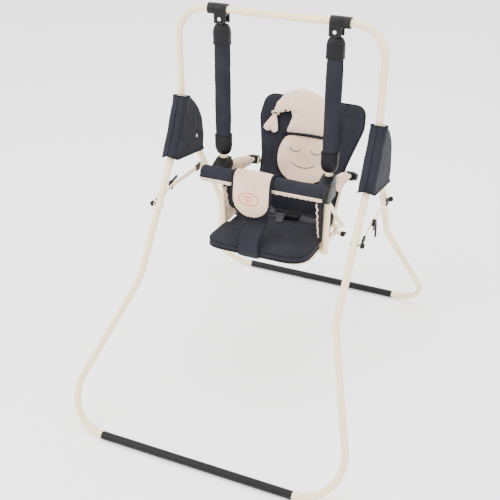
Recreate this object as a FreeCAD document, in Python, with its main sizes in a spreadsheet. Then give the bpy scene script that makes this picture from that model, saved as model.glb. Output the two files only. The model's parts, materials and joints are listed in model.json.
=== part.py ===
"""Baby swing on a folding tube stand, modelled as a parametric document.

Frame: millimetres, +Z up, +X to the sitting child's left-hand side of the front view (the viewer's right),
+Y to the rear. The origin is on the floor, midway between the stand's front and rear floor bars.
"""

import FreeCAD, Part
import math
import os
import re

import Sketcher

doc = FreeCAD.newDocument("baby_swing")
sheet = doc.addObject("Spreadsheet::Sheet", "sheet")

# ---------------------------------------------------------------- driving dimensions
DIMS = {
    # stand
    "overall_height": 1220, "frame_width": 654, "hub_height": 860,
    "front_reach": 630, "rear_reach": 527, "tube_dia": 22, "tube_wall": 1.5,
    "top_radius": 95, "bend_radius": 200, "front_corner": 125, "rear_corner": 110,
    "front_bend": 550, "rear_bend": 505, "rear_bend_inset": 8.5,
    "front_foot_width": 980, "rear_foot_width": 911,
    "sleeve_wall": 2, "front_sleeve_inset": 0.5, "rear_sleeve_inset": 8,
    "bolt_dia": 6, "head_radius": 5.5, "run_gap": 0.05, "part_gap": 0.4,
    # hubs
    "plate_thick": 3, "plate_gap": 1.5, "upright_start": 24, "leg_start": 80, "plate_leg": 150,
    "plate_top": 60, "plate_half": 13, "bolt_inset": 12, "bolt_pitch": 24,
    "tongue_thick": 10, "tongue_len": 60, "eye_radius": 12,
    "head_thick": 3, "cover_wall": 5.5, "snap_radius": 6, "snap_thick": 3,
    # side braces
    "brace_drop": 246, "mid_y": 55, "mid_drop": 232, "link_gap": 1.5, "link_thick": 2.5,
    "rear_link_wide": 15, "front_link_wide": 10, "boot_start": 14, "boot_len": 30, "boot_wall": 3,
    "latch_radius": 12, "latch_thick": 9, "lever_len": 52, "lever_wide": 9, "lever_thick": 5, "hook_len": 24,
    "knob_radius": 9, "knob_len": 9, "nut_len": 5, "wing_len": 30, "wing_thick": 7,
    # hangers
    "hanger_spacing": 360, "bracket_width": 38, "bush_wall": 6, "ear_thick": 4, "ear_drop": 41,
    "hang_bolt_drop": 26, "collar_width": 22, "collar_gap": 1, "hanger_bottom": 452,
    "pad_wide": 50, "pad_deep": 38, "cap_wide": 54, "cap_deep": 41, "cap_len": 64, "low_cap_len": 67,
    "stub_len": 12,
    # handrail
    "rail_reach": 75, "rail_height": 703, "rail_left": 226, "rail_right": 208,
    "rail_pad_tall": 50, "rail_pad_deep": 46, "corner_rise": 30, "corner_fall": 43, "corner_width": 40,
    "lug_width": 12, "cup_wall": 4, "cup_depth": 18,
    "flap_width": 138, "flap_thick": 6, "flap_shift": -38, "flap_rise": 38, "flap_fall": 116,
    "strap_width": 70, "strap_shift": -17,
    # seat
    "seat_height": 466, "seat_tilt": 5, "seat_tube": 14, "seat_front": 143, "seat_leg_end": 128,
    "seat_corner": 60, "side_tall": 20, "side_thick": 3, "side_rear": 195, "board_thick": 5,
    "board_front": 155, "cushion_thick": 36, "cushion_front": 186, "cushion_rear": 138, "panel_thick": 4,
    "nose_rear": 26,
    "strut_dia": 16, "strut_rise": 174, "strut_reach": 185, "button_radius": 10, "button_len": 14,
    "belt_width": 28, "belt_thick": 3, "belt_y": 92, "buckle_long": 50, "buckle_wide": 36, "buckle_thick": 12,
    "buckle_shift": 29,
    # backrest
    "hinge_y": 150, "back_tilt": 31, "back_setback": 14, "back_tube": 14, "back_pad": 30, "back_flare": 8,
    "back_top": 440,
    "waist_inset": 24, "waist_height": 215, "back_low": 32, "low_inset": 42, "shoulder_height": 350,
    "shoulder_radius": 58, "head_thick_pad": 26, "head_half": 103, "head_shift": 12, "head_low": 138,
    "head_brow": 308, "head_top": 470, "cap_tip": 128, "cap_side": 75,
    # recline arms
    "arm_dia": 16, "arm_inset": 2, "arm_front_y": 30, "arm_rear_y": 292, "arm_fall": 87,
    "arm_cover_wide": 34, "arm_cover_tall": 46, "arm_cover_start": 26, "arm_cover_end": 178,
    "clamp_y": 250, "clamp_gap": 1.6, "clamp_long": 34, "clamp_tall": 30, "clamp_half": 13,
    "lug_thick": 4, "clamp_knob": 12, "clamp_knob_len": 12,
}
for row, (alias, number) in enumerate(DIMS.items(), start=1):
    sheet.set(f"A{row}", alias)
    sheet.set(f"B{row}", str(number))
    sheet.setAlias(f"B{row}", alias)
doc.recompute()

# Formulas built on the driving dimensions. Each name can be used inside the others and in every size below.
RULES = {
    # stand
    "half": "frame_width/2", "tube_r": "tube_dia/2", "bore_r": "(tube_dia/2-tube_wall)",
    "sleeve_dia": "(tube_dia+2*sleeve_wall)", "foot_z": "sleeve_dia/2", "bar_z": "(overall_height-tube_dia/2)",
    "hub_y": "(front_reach-rear_reach)/2", "leg_drop": "(hub_height-foot_z)",
    "front_tilt": "atan(front_reach/leg_drop)", "rear_tilt": "atan(rear_reach/leg_drop)",
    "front_len": "sqrt(front_reach^2+leg_drop^2)", "rear_len": "sqrt(rear_reach^2+leg_drop^2)",
    "front_turn": "atan((front_len-front_bend)/(front_foot_width/2-half))",
    "rear_turn": "atan((rear_len-rear_bend)/(rear_foot_width/2-half+rear_bend_inset))",
    "front_sleeve": "(front_foot_width/2-front_corner/tan(front_turn/2)-front_sleeve_inset)",
    "rear_sleeve": "(rear_foot_width/2-rear_corner/tan(rear_turn/2)-rear_sleeve_inset)",
    "bolt_r": "bolt_dia/2", "hole_r": "(bolt_dia/2+run_gap)",
    "plate_in": "(tube_r+plate_gap)", "plate_out": "(plate_in+plate_thick)",
    "cover_in": "(plate_out+head_thick)", "cover_out": "(cover_in+cover_wall)",
    # side braces, each link pointing at the middle pivot
    "brace_z": "(hub_height-brace_drop)", "front_pivot": "(brace_drop*tan(front_tilt))",
    "rear_pivot": "(brace_drop*tan(rear_tilt))", "mid_rise": "(brace_drop-mid_drop)",
    "front_link_len": "sqrt((front_pivot-mid_y)^2+mid_rise^2)",
    "rear_link_len": "sqrt((rear_pivot+mid_y)^2+mid_rise^2)",
    "front_link_slope": "atan(mid_rise/(front_pivot-mid_y))",
    "rear_link_slope": "atan(mid_rise/(rear_pivot+mid_y))",
    "link_in": "(half+tube_r+link_gap)", "link_mid": "(link_in+link_thick)", "link_out": "(link_mid+part_gap)",
    "link_end": "(link_out+link_thick)", "latch_in": "(link_end+part_gap)", "latch_out": "(latch_in+latch_thick)",
    "cover_clear": "(half+cover_out+2*part_gap)",
    "rear_leg_x": "(half-rear_bend_inset*(brace_drop/cos(rear_tilt)-upright_start)/(rear_bend-upright_start))",
    # swing
    "hang_x": "hanger_spacing/2", "seat_side": "(hang_x-tube_r)", "bush_r": "(tube_r+bush_wall)",
    "hang_top": "(bar_z-bush_r)", "cap_top": "(bar_z-ear_drop)", "sleeve_top": "(cap_top-cap_len)",
    "corner_top": "(rail_height+corner_rise)", "corner_low": "(rail_height-corner_fall)",
    "cap_low": "(corner_top+stub_len)", "sleeve_low": "(cap_low+low_cap_len)",
    "pad_back": "(rail_reach-rail_pad_deep/2)", "pad_front": "(rail_reach+rail_pad_deep/2)",
    # seat, in its own tilted frame
    "seat_half": "(seat_side-side_thick-seat_tube/2+0.5)", "panel_out": "(seat_side-side_thick-1.5)",
    "panel_in": "(panel_out-panel_thick)", "hinge_z": "(seat_height-hinge_y*tan(seat_tilt))",
    "board_low": "(seat_tube/2+part_gap)", "cushion_low": "(board_low+board_thick+part_gap)",
    "cushion_top": "(cushion_low+cushion_thick)", "nose_half": "(hang_x-tube_r+3)",
    "belt_low": "(cushion_top+part_gap)",
    "strut_z": "(seat_height+strut_rise)", "strut_slope": "atan(strut_rise/strut_reach)",
    # backrest and recline arms
    "frame_half": "(hang_x-35)", "frame_v": "(back_setback+back_tube/2+0.3)", "eye_in": "(seat_side-9)",
    "arm_x": "(hang_x-arm_inset)", "back_foot": "16", "arm_z": "(rail_height-5)", "arm_r": "arm_dia/2",
    "arm_slope": "atan(arm_fall/(arm_rear_y-arm_front_y))",
    "arm_len": "((arm_rear_y-arm_front_y)/cos(arm_slope))",
    "clamp_z": "(arm_z-(clamp_y-arm_front_y)*tan(arm_slope))",
    "clamp_w": "((clamp_y-hinge_y)*sin(back_tilt)+(clamp_z-hinge_z)*cos(back_tilt))",
    "clamp_v": "((clamp_y-hinge_y)*cos(back_tilt)-(clamp_z-hinge_z)*sin(back_tilt))",
    "lug_x": "(hang_x-waist_inset+2.5)",
}


def spread(rule):
    """Write a rule out in terms of the sheet's own cells."""
    while True:
        wider = re.sub(r"\b[a-z_]+\b", lambda m: f"({RULES[m[0]]})" if m[0] in RULES else m[0], str(rule))
        if wider == str(rule):
            return re.sub(r"\b[a-z_]+\b", lambda m: f"sheet.{m[0]}" if m[0] in DIMS else m[0], wider)
        rule = wider


def value(rule):
    """The number that a rule gives now."""
    got = sheet.evalExpression(spread(rule))
    return float(getattr(got, "Value", got))


# ---------------------------------------------------------------- helpers
X_AXIS = FreeCAD.Vector(1, 0, 0)
Y_AXIS = FreeCAD.Vector(0, 1, 0)
Z_AXIS = FreeCAD.Vector(0, 0, 1)
SIDES = {"left": -1, "right": 1}
parts = {}


def bind(thing, **rules):
    """Tie properties to rules. A double underscore in a name stands for a full stop."""
    for name, rule in rules.items():
        thing.setExpression(name.replace("__", "."), spread(rule))


def place(thing, x=0, y=0, z=0, axis=None, turn=0):
    """Put an object at a point worked out from the sheet, turned by an angle about an axis."""
    if axis is not None:
        thing.Placement = FreeCAD.Placement(FreeCAD.Vector(), FreeCAD.Rotation(axis, 1))
        bind(thing, Placement__Rotation__Angle=turn)
    bind(thing, Placement__Base__x=x, Placement__Base__y=y, Placement__Base__z=z)
    return thing


def keep(node, thing):
    """Name the finished object that stands for a sub-part."""
    thing.Label = node
    parts[node] = thing
    return thing


def new_body(name):
    """An empty body with its own origin planes."""
    body = doc.addObject("PartDesign::Body", name)
    doc.recompute()
    return body


def new_sketch(body, plane, offset=0):
    """A sketch on one of the body's origin planes, moved along the plane's normal."""
    sketch = body.newObject("Sketcher::SketchObject", body.Name + "_sketch")
    role = plane + "_Plane"
    support = next(f for f in body.Origin.OriginFeatures if f.Role == role)
    sketch.AttachmentSupport = [(support, "")]
    sketch.MapMode = "FlatFace"
    bind(sketch, AttachmentOffset__Base__z=offset)
    return sketch


def pin_point(sketch, geo, vertex, point):
    """Hold a sketch point at its two ruled distances from the sketch's origin."""
    for kind, rule in zip(("DistanceX", "DistanceY"), point):
        index = sketch.addConstraint(Sketcher.Constraint(kind, -1, 1, geo, vertex, value(rule)))
        sketch.setExpression(f"Constraints[{index}]", spread(rule))


def trace(sketch, points, radii=None, closed=True):
    """Draw straight sides through the points, with an arc of the ruled radius at each corner that has one."""
    radii = radii or {}
    count = len(points)
    spots = [FreeCAD.Vector(value(x), value(y), 0) for x, y in points]
    corners = {i: value(rule) for i, rule in radii.items()}
    leave, reach = {}, {}
    for i, spot in enumerate(spots):
        leave[i] = reach[i] = spot
        if i in corners:
            back = (spots[i - 1] - spot).normalize()
            ahead = (spots[(i + 1) % count] - spot).normalize()
            run = corners[i] / math.tan(back.getAngle(ahead) / 2)
            reach[i], leave[i] = spot + back * run, spot + ahead * run
    sides = []
    for i in range(count if closed else count - 1):
        sides.append(sketch.addGeometry(Part.LineSegment(leave[i], reach[(i + 1) % count])))
    for i, spot in enumerate(spots):
        if not closed and i in (0, count - 1):
            pin_point(sketch, sides[0] if i == 0 else sides[-1], 1 if i == 0 else 2, points[i])
            continue
        before, after = sides[i - 1], sides[i % len(sides)]
        if i not in corners:
            sketch.addConstraint(Sketcher.Constraint("Coincident", before, 2, after, 1))
            pin_point(sketch, after, 1, points[i])
            continue
        round_corner(sketch, points[i], spot, reach[i], leave[i], (before, after), radii[i])
    return sketch


def round_corner(sketch, point, spot, start, end, sides, radius):
    """Join two sides with a tangent arc, and pin the corner where they would have met."""
    turn = (spot - start).cross(end - spot).z
    chord = (start + end) * 0.5
    size = value(radius)
    away = (chord - spot).normalize()
    centre = spot + away * math.hypot(size, (start - spot).Length)
    first, last = (start, end) if turn > 0 else (end, start)
    angles = [math.atan2(p.y - centre.y, p.x - centre.x) for p in (first, last)]
    arc = sketch.addGeometry(Part.ArcOfCircle(Part.Circle(centre, Z_AXIS, size), *angles))
    mark = sketch.addGeometry(Part.Point(spot), True)
    near, far = (1, 2) if turn > 0 else (2, 1)
    sketch.addConstraint(Sketcher.Constraint("Tangent", sides[0], 2, arc, near))
    sketch.addConstraint(Sketcher.Constraint("Tangent", arc, far, sides[1], 1))
    for side in sides:
        sketch.addConstraint(Sketcher.Constraint("PointOnObject", mark, 1, side))
    pin_point(sketch, mark, 1, point)
    index = sketch.addConstraint(Sketcher.Constraint("Radius", arc, size))
    sketch.setExpression(f"Constraints[{index}]", spread(radius))


def circles(sketch, rings):
    """Draw circles given as (x, y, radius) rules."""
    for x, y, radius in rings:
        middle = FreeCAD.Vector(value(x), value(y), 0)
        ring = sketch.addGeometry(Part.Circle(middle, Z_AXIS, value(radius)))
        pin_point(sketch, ring, 3, (x, y))
        index = sketch.addConstraint(Sketcher.Constraint("Radius", ring, value(radius)))
        sketch.setExpression(f"Constraints[{index}]", spread(radius))
    return sketch


def pad(body, sketch, length):
    """Thicken a sketch by half the length each way."""
    feature = body.newObject("PartDesign::Pad", body.Name + "_pad")
    feature.Profile = sketch
    feature.SideType = "Symmetric"
    bind(feature, Length=length)
    return feature


def pocket(body, sketch, length=None):
    """Cut a sketch out by half the length each way, or right through."""
    feature = body.newObject("PartDesign::Pocket", body.Name + "_pocket")
    feature.Profile = sketch
    feature.SideType = "Symmetric"
    if length is None:
        feature.Type = "ThroughAll"
    else:
        bind(feature, Length=length)
    return feature


def bent_tube(name, plane, points, radii, start_plane, outer="tube_r", inner="bore_r", close=False):
    """A tube swept along straight runs and tangent bends, starting square to one of the body's planes."""
    body = new_body(name)
    path = trace(new_sketch(body, plane), points, radii, closed=False)
    along, offset, middle = start_plane
    profile = new_sketch(body, along, offset)
    rings = [(middle[0], middle[1], outer)]
    if inner:
        rings.append((middle[0], middle[1], inner))
    circles(profile, rings)
    doc.recompute()
    pipe = body.newObject("PartDesign::AdditivePipe", name + "_pipe")
    pipe.Profile = profile
    pipe.Spine = path
    doc.recompute()
    return body


def slab(name, plane, points, radii, at, thick):
    """An outline on one of the body's planes, moved to a distance along its axis and thickened evenly."""
    body = new_body(name)
    sign = "-" if plane == "XZ" else ""
    pad(body, trace(new_sketch(body, plane, f"{sign}({at})"), points, radii), thick)
    return body


def drill(body, rings, plane="YZ"):
    """Bore round holes right through a body, square to one of its planes."""
    doc.recompute()
    pocket(body, circles(new_sketch(body, plane), rings))
    return body


def carve(body, plane, points, radii, at, thick):
    """Cut an outline out of a body, evenly about a distance along the plane's axis."""
    doc.recompute()
    sign = "-" if plane == "XZ" else ""
    pocket(body, trace(new_sketch(body, plane, f"{sign}({at})"), points, radii), thick)
    return body


def box_points(low_a, high_a, low_b, high_b):
    """The four corners of an upright rectangle."""
    return [(low_a, low_b), (high_a, low_b), (high_a, high_b), (low_a, high_b)]


def all_round(radius):
    """The same radius at each of four corners."""
    return {corner: radius for corner in range(4)}


def rod(name, axis, low, high, radius, **other):
    """A round bar along X, Y or Z, with its other two coordinates given by name."""
    thing = doc.addObject("Part::Cylinder", name)
    bind(thing, Radius=radius, Height=f"({high})-({low})")
    turns = {"x": (Y_AXIS, 90), "y": (X_AXIS, -90), "z": (Z_AXIS, 0)}
    thing.Placement = FreeCAD.Placement(FreeCAD.Vector(), FreeCAD.Rotation(*turns[axis]))
    spot = {"x": 0, "y": 0, "z": 0, **other, axis: low}
    return place(thing, **spot)


def reach_out(sign, near, far):
    """The low and high ends along X of a piece between two distances from the middle, on either side."""
    return (near, far) if sign > 0 else (f"-({far})", f"-({near})")


def side_rod(name, sign, near, far, radius, **other):
    """A round bar along X between two distances from the middle."""
    low, high = reach_out(sign, near, far)
    return rod(name, "x", low, high, radius, **other)


def side_slab(name, sign, points, radii, near, far):
    """An outline seen from the side, between two distances from the middle."""
    return slab(name, "YZ", points, radii, f"{sign}*(({near})+({far}))/2", f"({far})-({near})")


def fuse(name, things):
    """Join objects into one solid."""
    thing = doc.addObject("Part::MultiFuse", name)
    thing.Shapes = things
    return thing


def cut(name, base, tool):
    """Take one object away from another."""
    thing = doc.addObject("Part::Cut", name)
    thing.Base = base
    thing.Tool = tool
    return thing


def group(name, things):
    """Several solids that make one sub-part."""
    thing = doc.addObject("Part::Compound", name)
    thing.Links = things
    return thing


# ---------------------------------------------------------------- stand
def leg_hole(distance):
    """A bolt hole on a leg's own axis, at a distance from the hub."""
    return ("0", f"-({distance})", "hole_r")


def upper_frame():
    """The two uprights and the top bar, bent from one tube."""
    points = [("-half", "upright_start"), ("-half", "bar_z-hub_height"), ("half", "bar_z-hub_height"),
              ("half", "upright_start")]
    body = bent_tube("upper_frame", "XZ", points, {1: "top_radius", 2: "top_radius"},
                     ("XY", "upright_start", ("-half", "0")))
    drill(body, [("0", "plate_top-bolt_inset", "hole_r")])
    keep("upper_frame", place(body, 0, "hub_y", "hub_height"))


def front_leg_frame():
    """Both front legs and the front floor bar, splayed below the bends."""
    points = [("-half", "-leg_start"), ("-half", "-front_bend"), ("-front_foot_width/2", "-front_len"),
              ("front_foot_width/2", "-front_len"), ("half", "-front_bend"), ("half", "-leg_start")]
    radii = {1: "bend_radius", 2: "front_corner", 3: "front_corner", 4: "bend_radius"}
    body = bent_tube("front_leg_frame", "XZ", points, radii, ("XY", "-leg_start", ("-half", "0")))
    drill(body, [leg_hole("plate_leg-bolt_inset"), leg_hole("plate_leg-bolt_inset-bolt_pitch"),
                 leg_hole("brace_drop/cos(front_tilt)")])
    keep("front_leg_frame", place(body, 0, "hub_y", "hub_height", X_AXIS, "-front_tilt"))


def rear_leg_frame():
    """Both rear legs and the rear floor bar, hung from the hubs by flat tongues with an eye each."""
    bend_x = "(half-rear_bend_inset)"
    points = [("-half", "-upright_start"), (f"-{bend_x}", "-rear_bend"), ("-rear_foot_width/2", "-rear_len"),
              ("rear_foot_width/2", "-rear_len"), (bend_x, "-rear_bend"), ("half", "-upright_start")]
    radii = {1: "bend_radius", 2: "rear_corner", 3: "rear_corner", 4: "bend_radius"}
    body = bent_tube("rear_leg_frame", "XZ", points, radii, ("XY", "-upright_start", ("-half", "0")))
    tongue = box_points("-eye_radius", "eye_radius", "-tongue_len", "eye_radius")
    for sign in SIDES.values():
        sketch = new_sketch(body, "YZ", f"{sign}*half")
        trace(sketch, tongue, {2: "eye_radius-0.2", 3: "eye_radius-0.2"})
        pad(body, sketch, "tongue_thick")
    drill(body, [leg_hole("0"), leg_hole("brace_drop/cos(rear_tilt)")])
    keep("rear_leg_frame", place(body, 0, "hub_y", "hub_height", X_AXIS, "rear_tilt"))


def floor_sleeve(node, length, reach):
    """A plastic tube round the straight part of a floor bar."""
    outer = rod(node + "_outer", "x", f"-({length})", length, "sleeve_dia/2")
    inner = rod(node + "_inner", "x", f"-({length})", length, "tube_r+run_gap")
    keep(node, place(cut(node, outer, inner), 0, f"hub_y{reach}", "foot_z"))


def hub_bolts():
    """Where the fixed bolts cross each hub, as distances rearwards and up from the pivot."""
    spots = [("0", "plate_top-bolt_inset")]
    for distance in ("plate_leg-bolt_inset", "plate_leg-bolt_inset-bolt_pitch"):
        spots.append((f"-({distance})*sin(front_tilt)", f"-({distance})*cos(front_tilt)"))
    return spots


def hub_plates():
    """Two flat plates on each side that hold the upright, the front leg and the rear leg's pivot."""
    down = [f"{a}*sin(front_tilt)" for a in ("-plate_leg", "plate_half")]
    lower = (f"{down[0]}+plate_half*cos(front_tilt)", "-plate_leg*cos(front_tilt)-plate_half*sin(front_tilt)")
    upper = (f"{down[0]}-plate_half*cos(front_tilt)", "-plate_leg*cos(front_tilt)+plate_half*sin(front_tilt)")
    points = [("-plate_half", "plate_top"), upper, lower, ("plate_half*1.3", "-plate_half*0.8"),
              ("plate_half", "plate_top")]
    radii = {0: "5", 1: "8", 2: "8", 3: "8", 4: "5"}
    plates = []
    for side, sign in SIDES.items():
        for face, near in (("inner", "half-plate_out"), ("outer", "half+plate_in")):
            plate = side_slab(f"hub_plate_{side}_{face}", sign, points, radii, near, f"{near}+plate_thick")
            drill(plate, [("0", "0", "hole_r")] + [(y, z, "hole_r") for y, z in hub_bolts()])
            plates.append(plate)
    keep("hub_plates", place(group("hub_plates", plates), 0, "hub_y", "hub_height"))


def stand_bolts():
    """The hubs' pivots and fixed bolts with their heads and spacers, and the front braces' cap nuts."""
    pieces = []
    for side, sign in SIDES.items():
        for i, (y, z) in enumerate([("0", "0")] + hub_bolts()):
            name = f"bolt_{side}_{i}"
            spacer = "tongue_thick/2+part_gap" if i == 0 else "tube_r"
            spans = [("half-cover_in", "half+cover_in", "bolt_r"),
                     ("half-cover_in", "half-plate_out", "head_radius"),
                     ("half+plate_out", "half+cover_in", "head_radius"),
                     ("half-plate_in", f"half-({spacer})", "head_radius"),
                     (f"half+{spacer}", "half+plate_in", "head_radius")]
            rods = [side_rod(f"{name}_{n}", sign, near, far, radius) for n, (near, far, radius) in enumerate(spans)]
            pieces.append(place(fuse(name, rods), 0, f"hub_y+({y})", f"hub_height+({z})"))
        pieces.append(side_rod(f"cap_nut_{side}", sign, "half-tube_r-nut_len", "half-tube_r", "head_radius",
                               y="hub_y-front_pivot", z="brace_z"))
    keep("stand_bolts", group("stand_bolts", pieces))


def hub_cover(side, sign):
    """A plastic shell over the hub, open above for the upright and below for the legs."""
    node = f"hub_cover_{side}"
    outline = [("-38", "70"), ("-60", "0"), ("-118", "-103"), ("-45", "-132"), ("0", "-148"), ("80", "-154"),
               ("132", "-158"), ("115", "-60"), ("32", "52")]
    inside = [("-32", "90"), ("-32", "70"), ("-54", "0"), ("-110", "-100"), ("-128", "-180"), ("130", "-180"),
              ("126", "-158"), ("109.5", "-62"), ("26", "50"), ("26", "90")]
    body = side_slab(node, sign, outline, {0: "6", 1: "40", 2: "12", 6: "12", 7: "20", 8: "8"},
                     "half-cover_out", "half+cover_out")
    carve(body, "YZ", inside, {}, f"{sign}*half", "2*cover_in")
    cover = place(body, 0, "hub_y", "hub_height")
    if side == "left":
        snap = side_rod("snap_button", sign, "half-cover_out-snap_thick", "half-cover_out+1", "snap_radius",
                        y="hub_y+48", z="hub_height-78")
        cover = fuse(node + "_with_snap", [cover, snap])
    keep(node, cover)


def bar_collars():
    """A ring on the top bar outside each hanger, which keeps the hanger from sliding."""
    rings = []
    near = "hang_x+bracket_width/2+collar_gap"
    for side, sign in SIDES.items():
        low, high = reach_out(sign, near, f"{near}+collar_width")
        outer = rod(f"collar_{side}_outer", "x", low, high, "bush_r")
        inner = rod(f"collar_{side}_inner", "x", low, high, "tube_r+run_gap")
        rings.append(cut(f"collar_{side}", outer, inner))
    keep("bar_collars", place(group("bar_collars", rings), 0, "hub_y", "bar_z"))


# ---------------------------------------------------------------- side braces
def brace_link(node, sign, span, wide, slope, far_hole, pivot, near, far):
    """A flat link from its leg to the middle pivot, turned to its rest slope."""
    towards = -1 if "rear" in node else 1
    low, high = (f"-{wide}/2", f"{span}+{wide}/2") if towards > 0 else (f"-{span}-{wide}/2", f"{wide}/2")
    points = box_points(low, high, f"-{wide}/2", f"{wide}/2")
    body = side_slab(node, sign, points, all_round(f"{wide}/2-0.2"), near, far)
    rings = [("0", "0", "hole_r")]
    if far_hole:
        rings.append((span, "0", "hole_r"))
    drill(body, rings)
    keep(node, place(body, 0, f"hub_y{pivot}", "brace_z", X_AXIS, slope))


def brace_boot(node, sign, wide, slope, pivot, near, far, start):
    """A plastic sleeve on the end of a link, beside its knob. It begins at a distance from the middle."""
    towards = -1 if "rear" in node else 1
    low, high = ("boot_start", "boot_start+boot_len") if towards > 0 else ("-boot_start-boot_len", "-boot_start")
    points = box_points(low, high, f"-{wide}/2-boot_wall", f"{wide}/2+boot_wall")
    body = side_slab(node, sign, points, all_round("3"), start, f"{far}+boot_wall")
    hollow = box_points(f"{low}-1", f"{high}+1", f"-{wide}/2-run_gap", f"{wide}/2+run_gap")
    carve(body, "YZ", hollow, {}, f"{sign}*({near}+{far})/2", f"{far}-{near}+2*run_gap")
    keep(node, place(body, 0, f"hub_y{pivot}", "brace_z", X_AXIS, slope))


def latch_lever(side, sign):
    """The finger lever at the middle pivot, with a hook that holds the braces open."""
    node = f"latch_lever_{side}"
    name = f"latch_{side}"
    hub = side_rod(name + "_hub", sign, "latch_in", "latch_out", "latch_radius")
    stem = side_rod(name + "_stem", sign, "link_out+0.1", "latch_in+1", "bolt_r")
    bar = side_slab(name + "_bar", sign, box_points("0", "lever_len", "-lever_wide/2", "lever_wide/2"),
                    {1: "lever_wide/2-0.2", 2: "lever_wide/2-0.2"}, "cover_clear", "cover_clear+lever_thick")
    hook = side_slab(name + "_hook", sign,
                     [("-8", "0"), ("8", "-8"), ("14", "-hook_len"), ("6", "-hook_len-4"), ("-2", "-hook_len+6"),
                      ("-13", "-8")], {}, "cover_clear", "cover_clear+lever_thick-2")
    lever = fuse(node, [hub, stem, bar, hook])
    turn = "8" if side == "left" else "-82"
    keep(node, place(lever, 0, "hub_y-mid_y", "hub_height-mid_drop", X_AXIS, turn))


def brace_knob(node, sign, pivot, seat_x, start):
    """A round knob with its stem through the link and the leg."""
    grip = side_rod(node + "_grip", sign, start, f"{start}+knob_len", "knob_radius")
    crown = side_rod(node + "_crown", sign, f"{start}+knob_len-1", f"{start}+knob_len+3", "knob_radius-3")
    stem = side_rod(node + "_stem", sign, f"{seat_x}-tube_r+0.3", f"{start}+1", "bolt_r")
    keep(node, place(fuse(node, [grip, crown, stem]), 0, f"hub_y{pivot}", "brace_z"))


def rear_brace_bolts():
    """The spacers and cap nuts of the rear braces' knobs, on the rear legs."""
    pieces = []
    for side, sign in SIDES.items():
        outer = side_rod(f"spacer_{side}_outer", sign, "rear_leg_x+tube_r+0.1", "link_in-part_gap", "head_radius")
        inner = side_rod(f"spacer_{side}_inner", sign, "rear_leg_x", "link_in", "hole_r")
        pieces.append(cut(f"spacer_{side}", outer, inner))
        pieces.append(side_rod(f"rear_nut_{side}", sign, "rear_leg_x-tube_r-nut_len",
                               "rear_leg_x-tube_r-0.1", "head_radius"))
    keep("rear_brace_bolts", place(group("rear_brace_bolts", pieces), 0, "hub_y+rear_pivot", "brace_z"))


def side_braces():
    """Every piece of the folding brace on each side."""
    for side, sign in SIDES.items():
        front = ("front_link_wide", "front_link_slope", "-front_pivot", "link_out", "link_end")
        rear = ("rear_link_wide", "-rear_link_slope", "+rear_pivot", "link_in", "link_mid")
        brace_link(f"brace_front_link_{side}", sign, "front_link_len", front[0], front[1], True, *front[2:])
        brace_link(f"brace_rear_link_{side}", sign, "rear_link_len", rear[0], rear[1], False, *rear[2:])
        brace_boot(f"brace_front_boot_{side}", sign, *front, "link_out")
        brace_boot(f"brace_rear_boot_{side}", sign, *rear, "half+tube_r+part_gap")
        latch_lever(side, sign)
        brace_knob(f"brace_knob_front_{side}", sign, "-front_pivot", "half", "link_end+part_gap")
        brace_knob(f"brace_knob_rear_{side}", sign, "+rear_pivot", "rear_leg_x", "link_mid+part_gap")
    rear_brace_bolts()


# ---------------------------------------------------------------- hangers and handrail
def hanger_bracket(side, sign):
    """A bush round the top bar, with two ears that hold the hanger tube."""
    node = f"hanger_bracket_{side}"
    wide = "bush_r"
    near, far = "hang_x-bracket_width/2", "hang_x+bracket_width/2"
    body = side_slab(node, sign, box_points(f"-{wide}", wide, "-ear_drop", wide),
                     {0: "4", 1: "4", 2: "bush_r-0.2", 3: "bush_r-0.2"}, near, far)
    slot = box_points("-bush_r+ear_thick", "bush_r-ear_thick", "-ear_drop-10", "-bush_r")
    carve(body, "YZ", slot, {}, f"{sign}*hang_x", "bracket_width+2")
    drill(body, [("0", "0", "tube_r+0.08")])
    drill(body, [(f"{sign}*hang_x", "-hang_bolt_drop", "hole_r")], "XZ")
    keep(node, place(body, 0, "hub_y", "bar_z"))


def hanger_bolts():
    """The bolt through each bracket's ears and hanger tube."""
    bolts = []
    for side, sign in SIDES.items():
        shank = rod(f"hang_bolt_{side}", "y", "-bush_r-head_thick", "bush_r+head_thick", "bolt_r")
        heads = [rod(f"hang_head_{side}_{end}", "y", low, high, "head_radius") for end, low, high in
                 (("front", "-bush_r-head_thick", "-bush_r"), ("rear", "bush_r", "bush_r+head_thick"))]
        bolt = fuse(f"hanger_bolt_{side}", [shank] + heads)
        bolts.append(place(bolt, f"{sign}*hang_x", "hub_y", "bar_z-hang_bolt_drop"))
    keep("hanger_bolts", group("hanger_bolts", bolts))


def hanger_tube(side, sign):
    """A straight tube from the bracket down to the seat."""
    node = f"hanger_tube_{side}"
    where = {"x": f"{sign}*hang_x", "y": "hub_y"}
    outer = rod(node + "_outer", "z", "hanger_bottom", "hang_top", "tube_r", **where)
    bore = rod(node + "_bore", "z", "hanger_bottom-1", "hang_top+1", "bore_r", **where)
    hole = rod(node + "_hole", "y", "hub_y-tube_r-1", "hub_y+tube_r+1", "hole_r", x=where["x"],
               z="bar_z-hang_bolt_drop")
    keep(node, cut(node, outer, fuse(node + "_bores", [bore, hole])))


def padded_length(name, sign, wide, deep, low, high):
    """A rounded cloth-covered length round a hanger tube."""
    points = box_points(f"-{wide}/2", f"{wide}/2", f"-{deep}/2", f"{deep}/2")
    body = slab(name, "XY", points, all_round(f"{deep}/2-2"), f"({low}+{high})/2", f"{high}-({low})")
    drill(body, [("0", "0", "tube_r+run_gap")], "XY")
    return place(body, f"{sign}*hang_x", "hub_y", 0)


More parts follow.
